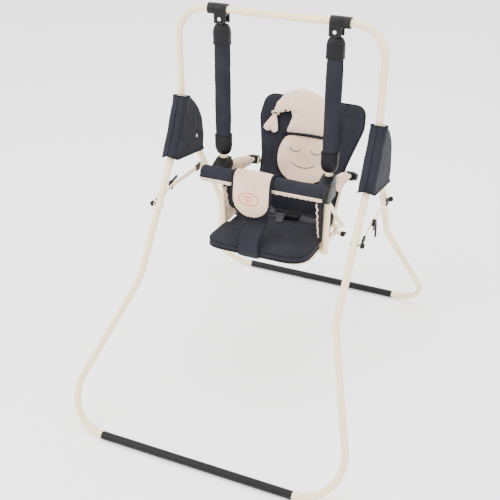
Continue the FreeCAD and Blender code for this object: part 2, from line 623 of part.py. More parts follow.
def hanger_pads():
    """The long padded sleeve and the two plush caps of each hanger."""
    caps = []
    for side, sign in SIDES.items():
        node = f"hanger_sleeve_{side}"
        keep(node, padded_length(node, sign, "pad_wide", "pad_deep", "sleeve_low", "sleeve_top"))
        caps.append(padded_length(f"top_cap_{side}", sign, "cap_wide", "cap_deep", "sleeve_top", "cap_top"))
        caps.append(padded_length(f"low_cap_{side}", sign, "cap_wide", "cap_deep", "cap_low", "sleeve_low"))
        caps.append(padded_length(f"stub_{side}", sign, "cap_deep", "cap_deep-3", "corner_top", "cap_low"))
    keep("hanger_caps", group("hanger_caps", caps))


def corner_bracket(side, sign):
    """A plastic block on the hanger that carries the handrail in front and the arm's pivot behind."""
    node = f"corner_bracket_{side}"
    outline = [("18", "corner_low"), ("18", "corner_top"), ("-12", "corner_top"),
               ("-pad_back+part_gap", "corner_top-14"), ("-pad_back+part_gap", "corner_low+26"),
               ("-18", "corner_low")]
    body = side_slab(node, sign, outline, {0: "4", 1: "4", 2: "10", 3: "8", 4: "8", 5: "4"},
                     "hang_x-corner_width/2", "hang_x+corner_width/2")
    lug = box_points("-rail_reach", "-20", "rail_height-8", "rail_height+8")
    add_slab(body, lug, f"{sign}*hang_x", "lug_width")
    fork = box_points("10", "arm_front_y+arm_r+3", "arm_z-arm_r-2", "arm_z+arm_r+2")
    add_slab(body, fork, f"{sign}*arm_x", "arm_dia+2*part_gap+2*lug_thick")
    throat = box_points("18.5", "arm_front_y+arm_r+9", "arm_z-20", "arm_z+20")
    carve(body, "YZ", throat, {}, f"{sign}*arm_x", "arm_dia+2*part_gap")
    drill(body, [("-rail_reach", "rail_height", "tube_r+run_gap")])
    doc.recompute()
    pocket(body, circles(new_sketch(body, "XY"), [(f"{sign}*hang_x", "0", "tube_r+run_gap")]))
    pin = side_rod(f"arm_pin_{side}", sign, "arm_x-arm_r-lug_thick", "arm_x+arm_r+lug_thick", "bolt_r",
                   y="arm_front_y", z="arm_z")
    pieces = [body, pin]
    if side == "right":
        pieces.append(rail_cup())
    keep(node, place(fuse(node, pieces), 0, "hub_y", 0))


def add_slab(body, points, at, thick):
    """Thicken one more outline onto a body."""
    pad(body, trace(new_sketch(body, "YZ", at), points), thick)


def rail_cup():
    """The round socket that closes the padded handrail's right-hand end."""
    where = {"y": "-rail_reach", "z": "rail_height"}
    radius = "rail_pad_tall/2+cup_wall"
    outer = rod("cup_outer", "x", "rail_right-cup_depth+cup_wall", "rail_right+cup_wall", radius, **where)
    inner = rod("cup_inner", "x", "rail_right-cup_depth", "rail_right+part_gap", "rail_pad_tall/2+2*part_gap",
                **where)
    return cut("rail_cup", outer, inner)


def rail_outline(grow):
    """The padded handrail's rounded section, about the rail's own axis."""
    return box_points(f"-rail_reach-rail_pad_deep/2-{grow}", f"-rail_reach+rail_pad_deep/2+{grow}",
                      f"-rail_pad_tall/2-{grow}", f"rail_pad_tall/2+{grow}")


def handrail():
    """The handrail's tube and its padded cover, notched for the brackets' lugs."""
    outer = rod("rail_outer", "x", "-rail_left+4", "rail_right-1", "tube_r")
    bore = rod("rail_bore", "x", "-rail_left+3", "rail_right", "bore_r")
    keep("handrail_tube", place(cut("handrail_tube", outer, bore), 0, "hub_y-rail_reach", "rail_height"))
    body = slab("handrail_pad", "YZ", rail_outline("0"), all_round("rail_pad_deep/2-2"),
                "(rail_right-rail_left)/2", "rail_left+rail_right")
    for sign in SIDES.values():
        notch = box_points("-rail_reach", "-rail_reach+rail_pad_deep", "-9", "9")
        carve(body, "YZ", notch, {}, f"{sign}*hang_x", "lug_width+1")
    drill(body, [("-rail_reach", "0", "tube_r+run_gap")])
    keep("handrail_pad", place(body, 0, "hub_y", "rail_height"))


def pommel():
    """The cloth flap in front of the handrail and the strap that runs down to the seat."""
    low, high = "rail_height-flap_fall", "rail_height+flap_rise"
    body = slab("pommel_flap", "XZ", box_points("-flap_width/2", "flap_width/2", low, high),
                {0: "flap_width/2-8", 1: "flap_width/2-8", 2: "12", 3: "12"},
                "-(pad_front+part_gap+flap_thick/2)", "flap_thick")
    keep("pommel_flap", place(body, "flap_shift", "hub_y", 0))
    nose = "(cushion_front+3.5)"
    rise = "(seat_height+cushion_front*tan(seat_tilt))"
    points = [("-pad_front+6", "rail_height-rail_pad_tall/2"), ("-pad_front+2", "rail_height-rail_pad_tall/2"),
              ("-pad_front+2", "rail_height-flap_fall-3"), (f"-{nose}", f"{rise}+cushion_top+4"),
              (f"-{nose}", f"{rise}+cushion_low"), (f"-{nose}+3.5", f"{rise}+cushion_low"),
              (f"-{nose}+3.5", f"{rise}+cushion_top+3"), ("-pad_front+6", "rail_height-flap_fall-4")]
    strap = slab("crotch_strap", "YZ", points, {}, "strap_shift", "strap_width")
    keep("crotch_strap", place(strap, 0, "hub_y", 0))


# ---------------------------------------------------------------- seat
def in_seat(thing):
    """Put an object that is modelled in the seat's own frame where the seat is."""
    return place(thing, 0, "hub_y", "seat_height", X_AXIS, "-seat_tilt")


def seat_frame():
    """The bent tube under the seat with a flat strap along each side."""
    points = [("-seat_half", "seat_leg_end"), ("-seat_half", "-seat_front"), ("seat_half", "-seat_front"),
              ("seat_half", "seat_leg_end")]
    tube = bent_tube("seat_tube", "XY", points, {1: "seat_corner", 2: "seat_corner"},
                     ("XZ", "-seat_leg_end", ("-seat_half", "0")), outer="seat_tube/2", inner="seat_tube/2-1.5")
    pieces = [tube]
    for side, sign in SIDES.items():
        strap = side_slab(f"seat_strap_{side}", sign,
                          box_points("-bush_r", "side_rear", "-side_tall/2", "side_tall/2"),
                          all_round("side_tall/2-2"), "seat_side-side_thick", "seat_side")
        drill(strap, [("hinge_y/cos(seat_tilt)", "0", "hole_r")])
        pieces.append(strap)
    keep("seat_frame", in_seat(fuse("seat_frame", pieces)))


def seat_pads():
    """The seat's board and cushion."""
    half = "seat_half-2.5"
    board = slab("seat_board", "XY", box_points(f"-({half})", half, "-board_front", "seat_leg_end"),
                 {0: "seat_corner", 1: "seat_corner", 2: "6", 3: "6"}, "board_low+board_thick/2", "board_thick")
    keep("seat_board", in_seat(board))
    half = "(panel_in-0.5)"
    right = [("nose_half", "-cushion_front"), ("nose_half", "-nose_rear"), (half, "-nose_rear"), (half, "cushion_rear")]
    points = right + [(f"-{x}", y) for x, y in reversed(right)]
    cushion = slab("seat_cushion", "XY", points,
                   {0: "seat_corner", 1: "6", 3: "20", 4: "20", 6: "6", 7: "seat_corner"},
                   "cushion_low+cushion_thick/2", "cushion_thick")
    keep("seat_cushion", in_seat(cushion))


def seat_struts():
    """The slanting rod on each side that holds the seat's rear, with its rivet and the hinge's spacer."""
    pieces = []
    length = "sqrt(strut_rise^2+strut_reach^2)"
    for side, sign in SIDES.items():
        bar = rod(f"strut_{side}", "y", 0, length, "strut_dia/2")
        place(bar, f"{sign}*hang_x", 0, "strut_z", X_AXIS, "-90 deg-strut_slope")
        hanger = rod(f"strut_notch_{side}", "z", "hanger_bottom", "strut_z+60", "tube_r+run_gap",
                     x=f"{sign}*hang_x")
        rivet = side_rod(f"rivet_{side}", sign, "seat_side", "hang_x-1", "bolt_r+1", y="strut_reach-12",
                         z="strut_z-(strut_reach-12)*tan(strut_slope)")
        spacer = side_rod(f"spacer_{side}", sign, "seat_side", "hang_x+strut_dia/2", "bolt_r+4", y="hinge_y",
                          z="hinge_z")
        hole = side_rod(f"spacer_hole_{side}", sign, "seat_side-1", "hang_x+strut_dia/2+1", "hole_r",
                        y="hinge_y", z="hinge_z")
        pieces.append(fuse(f"seat_strut_{side}", [cut(f"strut_cut_{side}", bar, hanger), rivet]))
        pieces.append(cut(f"hinge_spacer_{side}", spacer, hole))
    keep("seat_struts", place(group("seat_struts", pieces), 0, "hub_y", 0))


def side_panels():
    """A cloth panel inside each hanger, and the button that holds its top."""
    panels, buttons = [], []
    outline = [("-45", "192"), ("-10", "cushion_low+30"), ("122", "cushion_low+20"), ("135", "79"), ("40", "174"),
               ("0", "192")]
    for side, sign in SIDES.items():
        panel = side_slab(f"side_panel_{side}", sign, outline, {0: "8", 3: "12", 4: "30"}, "panel_in", "panel_out")
        drill(panel, [("0", "strut_rise+4", "button_radius+run_gap")])
        panels.append(panel)
        buttons.append(side_rod(f"seat_button_{side}", sign, "seat_side-button_len", "seat_side", "button_radius",
                                z="strut_rise+4"))
    keep("side_panels", place(group("side_panels", panels), 0, "hub_y", "seat_height"))
    keep("seat_knobs", place(group("seat_knobs", buttons), 0, "hub_y", "seat_height"))


def waist_belt():
    """The webbing belt across the cushion and its buckle."""
    half = "(panel_in-6)"
    strap = slab("waist_belt", "XY",
                 box_points(f"-{half}", half, "belt_y-belt_width/2", "belt_y+belt_width/2"), {},
                 "belt_low+belt_thick/2", "belt_thick")
    keep("waist_belt", in_seat(strap))
    block = slab("belt_buckle", "XY",
                 box_points("buckle_shift-buckle_long/2", "buckle_shift+buckle_long/2",
                            "belt_y-buckle_wide/2", "belt_y+buckle_wide/2"), all_round("8"),
                 "belt_low+buckle_thick/2", "buckle_thick")
    slot = box_points("belt_y-belt_width/2-run_gap", "belt_y+belt_width/2+run_gap", "belt_low-1",
                      "belt_low+belt_thick+run_gap")
    carve(block, "YZ", slot, {}, "buckle_shift", "buckle_long+2")
    keep("belt_buckle", in_seat(block))


# ---------------------------------------------------------------- backrest
def in_back(thing):
    """Put an object that is modelled in the backrest's own frame where the backrest is."""
    return place(thing, 0, "hub_y+hinge_y", "hinge_z", X_AXIS, "-back_tilt")


def backrest_frame():
    """The backrest's bent tube with its hinge eyes and the lugs of the recline clamps."""
    low, shoulder = "back_foot", "(shoulder_height+10)"
    top, wide = "(back_top-14)", "(hang_x-12)"
    points = [("-frame_half", low), ("-frame_half", "waist_height"), (f"-{wide}", shoulder), (f"-{wide}", top),
              (wide, top), (wide, shoulder), ("frame_half", "waist_height"), ("frame_half", low)]
    radii = {1: "90", 2: "60", 3: "shoulder_radius-10", 4: "shoulder_radius-10", 5: "60", 6: "90"}
    tube = bent_tube("backrest_tube", "XZ", points, radii, ("XY", low, ("-frame_half", "0")),
                     outer="back_tube/2", inner="back_tube/2-1.5")
    place(tube, 0, "frame_v", 0)
    pieces = [tube]
    for side, sign in SIDES.items():
        behind = ("frame_v-back_tube/2", "frame_v+back_tube/2")
        foot = side_slab(f"back_foot_{side}", sign, box_points(*behind, low, f"{low}+back_tube"),
                         {}, "frame_half", "eye_in+side_thick")
        eye = side_slab(f"back_eye_{side}", sign, box_points("-9", behind[1], "-9", f"{low}+back_tube"),
                        {0: "8.8"}, "eye_in", "eye_in+side_thick")
        drill(eye, [("0", "0", "hole_r")])
        bridge = side_slab(f"lug_bridge_{side}", sign, box_points(*behind, "clamp_w-7", "clamp_w+7"), {},
                           "frame_half", "lug_x+lug_thick")
        lug = side_slab(f"clamp_lug_{side}", sign,
                        box_points("clamp_v-9", behind[1], "clamp_w-9", "clamp_w+9"), {0: "8.8", 3: "8.8"},
                        "lug_x", "lug_x+lug_thick")
        drill(lug, [("clamp_v", "clamp_w", "hole_r")])
        pieces += [foot, eye, bridge, lug]
    keep("backrest_frame", in_back(fuse("backrest_frame", pieces)))


def backrest_pads():
    """The padded backrest and the shaped head pad on it."""
    wide, waist, low = "(hang_x+back_flare)", "(hang_x-waist_inset)", "(hang_x-low_inset)"
    right = [(low, "back_low"), (waist, "waist_height"), (wide, "shoulder_height"), (f"{wide}-6", "back_top")]
    points = right + [(f"-({x})", z) for x, z in reversed(right)]
    radii = {0: "20", 1: "120", 2: "60", 3: "shoulder_radius", 4: "shoulder_radius", 5: "60", 6: "120", 7: "20"}
    back = slab("backrest_pad", "XZ", points, radii, "back_setback-back_pad/2", "back_pad-0.6")
    keep("backrest_pad", in_back(back))
    left, right, tip = "(head_shift-head_half)", "(head_shift+head_half)", "(-cap_tip)"
    points = [(left, "head_low"), (right, "head_low"), (right, "head_brow+10"), (f"{right}-18", "head_top-70"),
              (f"{right}-80", "head_top-8"), ("15-cap_side", "head_top"), (tip, "head_top-45"),
              (f"{tip}-28", "head_brow"), (f"{tip}+14", "head_brow"), (f"{tip}+14", "head_top-82"),
              ("-cap_side", "head_top-82"), ("-cap_side", "head_brow"), (left, "head_brow-8")]
    radii = {0: "70", 1: "70", 2: "20", 3: "40", 4: "30", 5: "30", 6: "20", 7: "6", 8: "6", 9: "8", 10: "10",
             11: "4", 12: "6"}
    head = slab("head_pad", "XZ", points, radii, "back_setback-back_pad-head_thick_pad/2", "head_thick_pad")
    keep("head_pad", in_back(head))


# ---------------------------------------------------------------- recline arms
def recline_arm(side, sign):
    """The arm from the corner bracket to the backrest, with its loose cloth cover."""
    node = f"arm_tube_{side}"
    body = new_body(node)
    sketch = circles(new_sketch(body, "XZ", "-(arm_len+5)/2"), [("0", "0", "arm_r"), ("0", "0", "arm_r-1.5")])
    pad(body, sketch, "arm_len+15")
    drill(body, [("0", "0", "hole_r")])
    keep(node, place(body, f"{sign}*arm_x", "hub_y+arm_front_y", "arm_z", X_AXIS, "-arm_slope"))
    node = f"arm_cover_{side}"
    cover = slab(node, "XZ", box_points("-arm_cover_wide/2", "arm_cover_wide/2", "-arm_cover_tall/2",
                                        "arm_cover_tall/2"), all_round("arm_cover_wide/2-2"),
                 "(arm_cover_start+arm_cover_end)/2", "arm_cover_end-arm_cover_start")
    drill(cover, [("0", "0", "arm_r+run_gap")], "XZ")
    keep(node, place(cover, f"{sign}*arm_x", "hub_y+arm_front_y", "arm_z", X_AXIS, "-arm_slope"))


def recline_clamp(side, sign):
    """The clamp that slides on the arm, pinned to the backrest's lug, and its knob."""
    node = f"recline_clamp_{side}"
    body = side_slab(node, sign, box_points("-clamp_long/2", "clamp_long/2", "-clamp_tall/2", "clamp_tall/2"),
                     all_round("7"), "arm_x-clamp_half", "arm_x+clamp_half")
    doc.recompute()
    pocket(body, circles(new_sketch(body, "XZ"), [(f"{sign}*arm_x", "0", "arm_r+clamp_gap")]))
    doc.recompute()
    stem_hole = side_rod(f"clamp_hole_{side}", sign, "arm_x+arm_r+1", "arm_x+clamp_half+1", "hole_r")
    pin = side_rod(f"clamp_pin_{side}", sign, "lug_x-1.5", "arm_x-clamp_half+1", "bolt_r")
    clamp = fuse(node, [cut(f"clamp_body_{side}", body, stem_hole), pin])
    spot = ("hub_y+clamp_y", "clamp_z", X_AXIS, "-arm_slope")
    keep(node, place(clamp, 0, *spot))
    node = f"recline_knob_{side}"
    near = "arm_x+clamp_half+part_gap"
    grip = side_rod(node + "_grip", sign, near, f"{near}+clamp_knob_len", "clamp_knob")
    stem = side_rod(node + "_stem", sign, "arm_x+arm_r+clamp_gap+0.3", f"{near}+1", "bolt_r")
    keep(node, place(fuse(node, [grip, stem]), 0, *spot))


def seat_rear_knob(side, sign):
    """The wing knob on the backrest's hinge, with its stem through the strap and the eye."""
    node = f"seat_rear_knob_{side}"
    near = "hang_x+strut_dia/2+part_gap"
    grip = side_rod(node + "_grip", sign, near, f"{near}+8", "knob_radius")
    wing = side_slab(node + "_wing", sign, box_points("-wing_len/2", "wing_len/2", "-wing_thick/2", "wing_thick/2"),
                     all_round("wing_thick/2-0.2"), near, f"{near}+14")
    stem = side_rod(node + "_stem", sign, "eye_in-1.5", f"{near}+1", "bolt_r")
    keep(node, place(fuse(node, [grip, wing, stem]), 0, "hub_y+hinge_y", "hinge_z"))


# ---------------------------------------------------------------- the whole swing
upper_frame()
front_leg_frame()
rear_leg_frame()
floor_sleeve("front_floor_sleeve", "front_sleeve", "-front_reach")
floor_sleeve("rear_floor_sleeve", "rear_sleeve", "+rear_reach")
hub_plates()
stand_bolts()
bar_collars()
side_braces()
hanger_bolts()
hanger_pads()
handrail()
pommel()
seat_frame()
seat_pads()
seat_struts()
side_panels()
waist_belt()
backrest_frame()
backrest_pads()
for side, sign in SIDES.items():
    hub_cover(side, sign)
    hanger_bracket(side, sign)
    hanger_tube(side, sign)
    corner_bracket(side, sign)
    recline_arm(side, sign)
    recline_clamp(side, sign)
    seat_rear_knob(side, sign)

# ---------------------------------------------------------------- check and write
doc.recompute()
for thing in doc.Objects:
    if {"Invalid", "Error"} & set(thing.State):
        raise RuntimeError(f"{thing.Label} failed: {thing.State}")
for node, thing in parts.items():
    if thing.Shape.isNull() or not thing.Shape.isValid() or not thing.Shape.Solids:
        raise RuntimeError(f"{node} has no valid solid")
os.makedirs("parts", exist_ok=True)
for node, thing in parts.items():
    thing.Shape.exportStep(f"parts/{node}.step")
print(len(parts), "sub-parts written")
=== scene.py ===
"""The looks of a baby swing on a folding tube stand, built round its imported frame.

Every length is in metres, in the frame's own axes: +Z up, -Y to the front and +X to the viewer's right.
"""

from __future__ import annotations

import json
import logging
import math
from dataclasses import dataclass, field
from enum import Enum
from typing import Callable, Iterable, Sequence

import bpy
from mathutils import Matrix, Vector, noise
from mathutils.kdtree import KDTree

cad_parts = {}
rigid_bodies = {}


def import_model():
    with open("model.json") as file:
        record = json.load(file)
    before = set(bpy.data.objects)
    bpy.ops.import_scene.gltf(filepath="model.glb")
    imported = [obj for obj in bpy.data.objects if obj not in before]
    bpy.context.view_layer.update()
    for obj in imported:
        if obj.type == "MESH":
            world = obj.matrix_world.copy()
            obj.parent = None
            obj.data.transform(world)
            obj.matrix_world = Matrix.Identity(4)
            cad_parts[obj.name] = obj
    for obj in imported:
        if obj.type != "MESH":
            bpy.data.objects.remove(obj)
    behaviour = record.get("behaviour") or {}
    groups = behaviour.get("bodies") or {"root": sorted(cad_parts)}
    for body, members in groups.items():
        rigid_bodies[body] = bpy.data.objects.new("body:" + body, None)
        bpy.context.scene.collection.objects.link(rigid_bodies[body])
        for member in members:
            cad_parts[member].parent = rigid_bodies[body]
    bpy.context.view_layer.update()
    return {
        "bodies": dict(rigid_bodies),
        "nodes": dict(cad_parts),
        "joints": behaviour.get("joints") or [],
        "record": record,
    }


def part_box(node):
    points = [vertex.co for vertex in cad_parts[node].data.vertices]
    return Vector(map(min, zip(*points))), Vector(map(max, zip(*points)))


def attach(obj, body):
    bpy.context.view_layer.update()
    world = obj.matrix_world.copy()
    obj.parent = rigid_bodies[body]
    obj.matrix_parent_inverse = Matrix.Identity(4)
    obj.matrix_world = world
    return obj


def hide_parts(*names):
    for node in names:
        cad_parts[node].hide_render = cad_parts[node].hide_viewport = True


LOG = logging.getLogger("swing")
MM = 0.001
TURN = 2 * math.pi
BOOT_EDGE = 0.8 * MM
BRACKET_EDGE = 1.2 * MM
KNOB_EDGE = 1.6 * MM
SEAT_KNOB_EDGE = 2 * MM
SEWN_MARGIN = 7 * MM
Point = tuple[float, float]


class Side(Enum):
    """The two sides of the swing, with the sign of X on each."""

    LEFT = -1
    RIGHT = 1

    @property
    def word(self) -> str:
        """The side's word in node names."""
        return self.name.lower()


# ---------------------------------------------------------------- finishes
@dataclass(frozen=True)
class Finish:
    """A surface made of nodes. Each kind adds its own pattern in dress()."""

    name: str
    colour: tuple[float, float, float]
    roughness: float = 0.5

    def material(self) -> bpy.types.Material:
        """Make the material, or return the one already made.

        Returns:
            The finished material.
        """
        made = bpy.data.materials.get(self.name)
        if made:
            return made
        made = bpy.data.materials.new(self.name)
        made.use_nodes = True
        shader = made.node_tree.nodes["Principled BSDF"]
        shader.inputs["Base Color"].default_value = (*self.colour, 1)
        shader.inputs["Roughness"].default_value = self.roughness
        self.dress(made.node_tree, shader)
        return made

    def dress(self, tree: bpy.types.NodeTree, shader: bpy.types.Node) -> None:
        """Add the pattern that this kind of surface shows.

        Args:
            tree: the material's nodes.
            shader: its Principled shader.
        """

    @staticmethod
    def spot(tree: bpy.types.NodeTree, stretch: tuple[float, float, float] = (1, 1, 1)) -> bpy.types.Node:
        """Object coordinates through a Mapping node.

        Args:
            tree: the material's nodes.
            stretch: the scale along each axis.

        Returns:
            The Mapping node.
        """
        coordinates = tree.nodes.new("ShaderNodeTexCoord")
        mapping = tree.nodes.new("ShaderNodeMapping")
        mapping.inputs["Scale"].default_value = stretch
        tree.links.new(coordinates.outputs["Object"], mapping.inputs["Vector"])
        return mapping

    @staticmethod
    def grain(tree: bpy.types.NodeTree, source: bpy.types.Node, scale: float,
              detail: float = 3) -> bpy.types.Node:
        """A noise texture read from a Mapping node."""
        node = tree.nodes.new("ShaderNodeTexNoise")
        node.inputs["Scale"].default_value = scale
        node.inputs["Detail"].default_value = detail
        tree.links.new(source.outputs["Vector"], node.inputs["Vector"])
        return node

    def tint(self, tree: bpy.types.NodeTree, shader: bpy.types.Node, source: bpy.types.NodeSocket,
             low: float, high: float) -> None:
        """Vary the base colour between a darker and a lighter shade.

        Args:
            tree: the material's nodes.
            shader: the Principled shader.
            source: the socket that chooses the shade.
            low: the brightness at the pattern's dark end.
            high: the brightness at its light end.
        """
        ramp = tree.nodes.new("ShaderNodeValToRGB")
        ramp.color_ramp.elements[0].position = 0.3
        ramp.color_ramp.elements[1].position = 0.7
        ramp.color_ramp.elements[0].color = (*(c * low for c in self.colour), 1)
        ramp.color_ramp.elements[1].color = (*(min(1, c * high) for c in self.colour), 1)
        tree.links.new(source, ramp.inputs["Fac"])
        tree.links.new(ramp.outputs["Color"], shader.inputs["Base Color"])

    @staticmethod
    def bump(tree: bpy.types.NodeTree, shader: bpy.types.Node, source: bpy.types.NodeSocket, strength: float,
             distance: float) -> None:
        """Raise the surface by a pattern, on top of any bump already there."""
        node = tree.nodes.new("ShaderNodeBump")
        node.inputs["Strength"].default_value = strength
        node.inputs["Distance"].default_value = distance
        held = shader.inputs["Normal"]
        if held.is_linked:
            tree.links.new(held.links[0].from_socket, node.inputs["Normal"])
        tree.links.new(source, node.inputs["Height"])
        tree.links.new(node.outputs["Normal"], held)


@dataclass(frozen=True)
class Cloth(Finish):
    """Woven cloth: a plain weave, soft creases and a faint sheen."""

    roughness: float = 0.85
    thread: float = 1400
    sheen: float = 0.015
    crease: float = 0.35

    def dress(self, tree: bpy.types.NodeTree, shader: bpy.types.Node) -> None:
        """Add threads both ways, blotches of colour and small creases."""
        shader.inputs["Specular IOR Level"].default_value = 0.12
        shader.inputs["Sheen Weight"].default_value = self.sheen
        shader.inputs["Sheen Roughness"].default_value = 0.5
        place = self.spot(tree)
        self.tint(tree, shader, self.grain(tree, place, 14, 5).outputs["Fac"], 0.82, 1.16)
        mixed = tree.nodes.new("ShaderNodeMath")
        mixed.operation = "MAXIMUM"
        for slot, direction in enumerate(("X", "Z")):
            wave = tree.nodes.new("ShaderNodeTexWave")
            wave.bands_direction = direction
            wave.inputs["Scale"].default_value = self.thread / 6
            wave.inputs["Distortion"].default_value = 1.2
            wave.inputs["Detail"].default_value = 1
            tree.links.new(place.outputs["Vector"], wave.inputs["Vector"])
            tree.links.new(wave.outputs["Fac"], mixed.inputs[slot])
        self.bump(tree, shader, mixed.outputs["Value"], 0.35, 0.0006)
        self.bump(tree, shader, self.grain(tree, place, 38, 4).outputs["Fac"], self.crease, 0.004)


@dataclass(frozen=True)
class Plush(Finish):
    """Short soft pile, as on a toy."""

    roughness: float = 0.95

    def dress(self, tree: bpy.types.NodeTree, shader: bpy.types.Node) -> None:
        """Add fine tufts and a strong soft sheen."""
        shader.inputs["Sheen Weight"].default_value = 0.5
        shader.inputs["Sheen Roughness"].default_value = 0.6
        place = self.spot(tree)
        self.tint(tree, shader, self.grain(tree, place, 22, 5).outputs["Fac"], 0.93, 1.05)
        self.bump(tree, shader, self.grain(tree, place, 900, 2).outputs["Fac"], 0.5, 0.001)
        self.bump(tree, shader, self.grain(tree, place, 45, 3).outputs["Fac"], 0.3, 0.003)


@dataclass(frozen=True)
class Webbing(Finish):
    """Flat woven webbing with ribs across it."""

    roughness: float = 0.7

    def dress(self, tree: bpy.types.NodeTree, shader: bpy.types.Node) -> None:
        """Add the ribs and a slight variation."""
        place = self.spot(tree, (1, 0.15, 0.15))
        wave = tree.nodes.new("ShaderNodeTexWave")
        wave.inputs["Scale"].default_value = 260
        wave.inputs["Distortion"].default_value = 0.6
        tree.links.new(place.outputs["Vector"], wave.inputs["Vector"])
        self.bump(tree, shader, wave.outputs["Fac"], 0.6, 0.0008)
        self.tint(tree, shader, self.grain(tree, place, 60, 3).outputs["Fac"], 0.7, 1.4)


@dataclass(frozen=True)
class Paint(Finish):
    """Powder coat on bent tube: glossy, with a slight orange peel."""

    roughness: float = 0.28

    def dress(self, tree: bpy.types.NodeTree, shader: bpy.types.Node) -> None:
        """Add the peel, a clear gloss and very faint blotches."""
        shader.inputs["Coat Weight"].default_value = 0.35
        shader.inputs["Coat Roughness"].default_value = 0.12
        place = self.spot(tree)
        self.tint(tree, shader, self.grain(tree, place, 7, 4).outputs["Fac"], 0.965, 1.02)
        self.bump(tree, shader, self.grain(tree, place, 520, 2).outputs["Fac"], 0.12, 0.0006)


@dataclass(frozen=True)
class Plastic(Finish):
    """Moulded plastic with a fine spark-eroded grain and worn gloss."""

    roughness: float = 0.42

    def dress(self, tree: bpy.types.NodeTree, shader: bpy.types.Node) -> None:
        """Add the grain, and gloss that varies from place to place."""
        shader.inputs["Specular IOR Level"].default_value = 0.16
        place = self.spot(tree)
        self.bump(tree, shader, self.grain(tree, place, 1300, 2).outputs["Fac"], 0.25, 0.0005)
        worn = tree.nodes.new("ShaderNodeMapRange")
        worn.inputs["To Min"].default_value = self.roughness - 0.1
        worn.inputs["To Max"].default_value = self.roughness + 0.15
        tree.links.new(self.grain(tree, place, 25, 4).outputs["Fac"], worn.inputs["Value"])
        tree.links.new(worn.outputs["Result"], shader.inputs["Roughness"])
        self.tint(tree, shader, self.grain(tree, place, 40, 3).outputs["Fac"], 0.8, 1.25)


@dataclass(frozen=True)
class Zinc(Finish):
    """Zinc-plated steel with fine brushed lines."""

    roughness: float = 0.32

    def dress(self, tree: bpy.types.NodeTree, shader: bpy.types.Node) -> None:
        """Make it metal and add the brushing."""
        shader.inputs["Metallic"].default_value = 1
        place = self.spot(tree, (1, 1, 12))
        self.tint(tree, shader, self.grain(tree, place, 120, 3).outputs["Fac"], 0.85, 1.1)
        self.bump(tree, shader, self.grain(tree, place, 700, 2).outputs["Fac"], 0.15, 0.0004)


@dataclass(frozen=True)
class Board(Finish):
    """Bare hardboard, seen only from below."""

    roughness: float = 0.8

    def dress(self, tree: bpy.types.NodeTree, shader: bpy.types.Node) -> None:
        """Add the fibres."""
        place = self.spot(tree, (1, 4, 1))
        self.tint(tree, shader, self.grain(tree, place, 160, 5).outputs["Fac"], 0.75, 1.2)
        self.bump(tree, shader, self.grain(tree, place, 500, 3).outputs["Fac"], 0.3, 0.0006)


CREAM_PAINT = Paint("cream_powder_coat", (0.80, 0.64, 0.385))
NAVY_CLOTH = Cloth("charcoal_cloth", (0.0130, 0.0138, 0.0190))
NAVY_EDGE = Cloth("charcoal_binding", (0.007, 0.0075, 0.011), crease=0.1)
CREAM_CLOTH = Cloth("beige_cloth", (0.66, 0.47, 0.345), crease=0.5)
CREAM_PLUSH = Plush("beige_plush", (0.66, 0.475, 0.35))
BLACK_PLASTIC = Plastic("black_moulding", (0.0055, 0.0055, 0.006))
BLACK_RUBBER = Plastic("black_cap_leatherette", (0.0045, 0.0045, 0.0055), roughness=0.5)
BLACK_WEB = Webbing("black_webbing", (0.012, 0.012, 0.014))
RED_THREAD = Cloth("red_thread", (0.60, 0.02, 0.01), crease=0.1)
BLACK_THREAD = Cloth("black_thread", (0.02, 0.02, 0.024), crease=0.1)
STEEL = Zinc("zinc_plate", (0.72, 0.72, 0.72))
HARDBOARD = Board("hardboard", (0.32, 0.21, 0.12))


# ---------------------------------------------------------------- workshop
def deselect() -> None:
    """Leave object mode ready, with nothing selected."""
    if bpy.context.object and bpy.context.object.mode != "OBJECT":
        bpy.ops.object.mode_set(mode="OBJECT")
    bpy.ops.object.select_all(action="DESELECT")


def pick(piece: bpy.types.Object) -> None:
    """Select one object and make it the active one."""
    deselect()
    piece.select_set(True)
    bpy.context.view_layer.objects.active = piece


def settle(piece: bpy.types.Object) -> None:
    """Move an object's place into its mesh."""
    pick(piece)
    bpy.ops.object.transform_apply(location=True, rotation=True, scale=True)


def finish_with(piece: bpy.types.Object, kind: str, **values: object) -> None:
    """Add a modifier to a piece and apply it.

    Args:
        piece: the object.
        kind: the modifier's type.
        values: its settings.
    """
    modifier = piece.modifiers.new(kind.title(), kind)
    for name, value in values.items():
        setattr(modifier, name, value)
    pick(piece)
    bpy.ops.object.modifier_apply(modifier=modifier.name)


def smooth(piece: bpy.types.Object, angle: float = 40) -> None:
    """Shade a piece smooth wherever its faces meet at less than the angle, in degrees."""
    pick(piece)
    bpy.ops.object.shade_smooth_by_angle(angle=math.radians(angle))


def outward(piece: bpy.types.Object) -> None:
    """Merge doubled points and point every face outwards."""
    pick(piece)
    bpy.ops.object.mode_set(mode="EDIT")
    bpy.ops.mesh.select_all(action="SELECT")
    bpy.ops.mesh.remove_doubles(threshold=1e-5)
    bpy.ops.mesh.normals_make_consistent(inside=False)
    bpy.ops.object.mode_set(mode="OBJECT")


def add_piece(name: str, verts: Sequence[Vector], faces: Sequence[Sequence[int]],
              finish: Finish) -> bpy.types.Object:
    """Make a mesh object from points and faces.

    Args:
        name: the piece's name.
        verts: its points.
        faces: its faces.
        finish: its surface.

    Returns:
        The new object.
    """
    mesh = bpy.data.meshes.new(name)
    mesh.from_pydata([tuple(v) for v in verts], [], [tuple(f) for f in faces])
    mesh.materials.append(finish.material())
    piece = bpy.data.objects.new(name, mesh)
    bpy.context.scene.collection.objects.link(piece)
    return piece


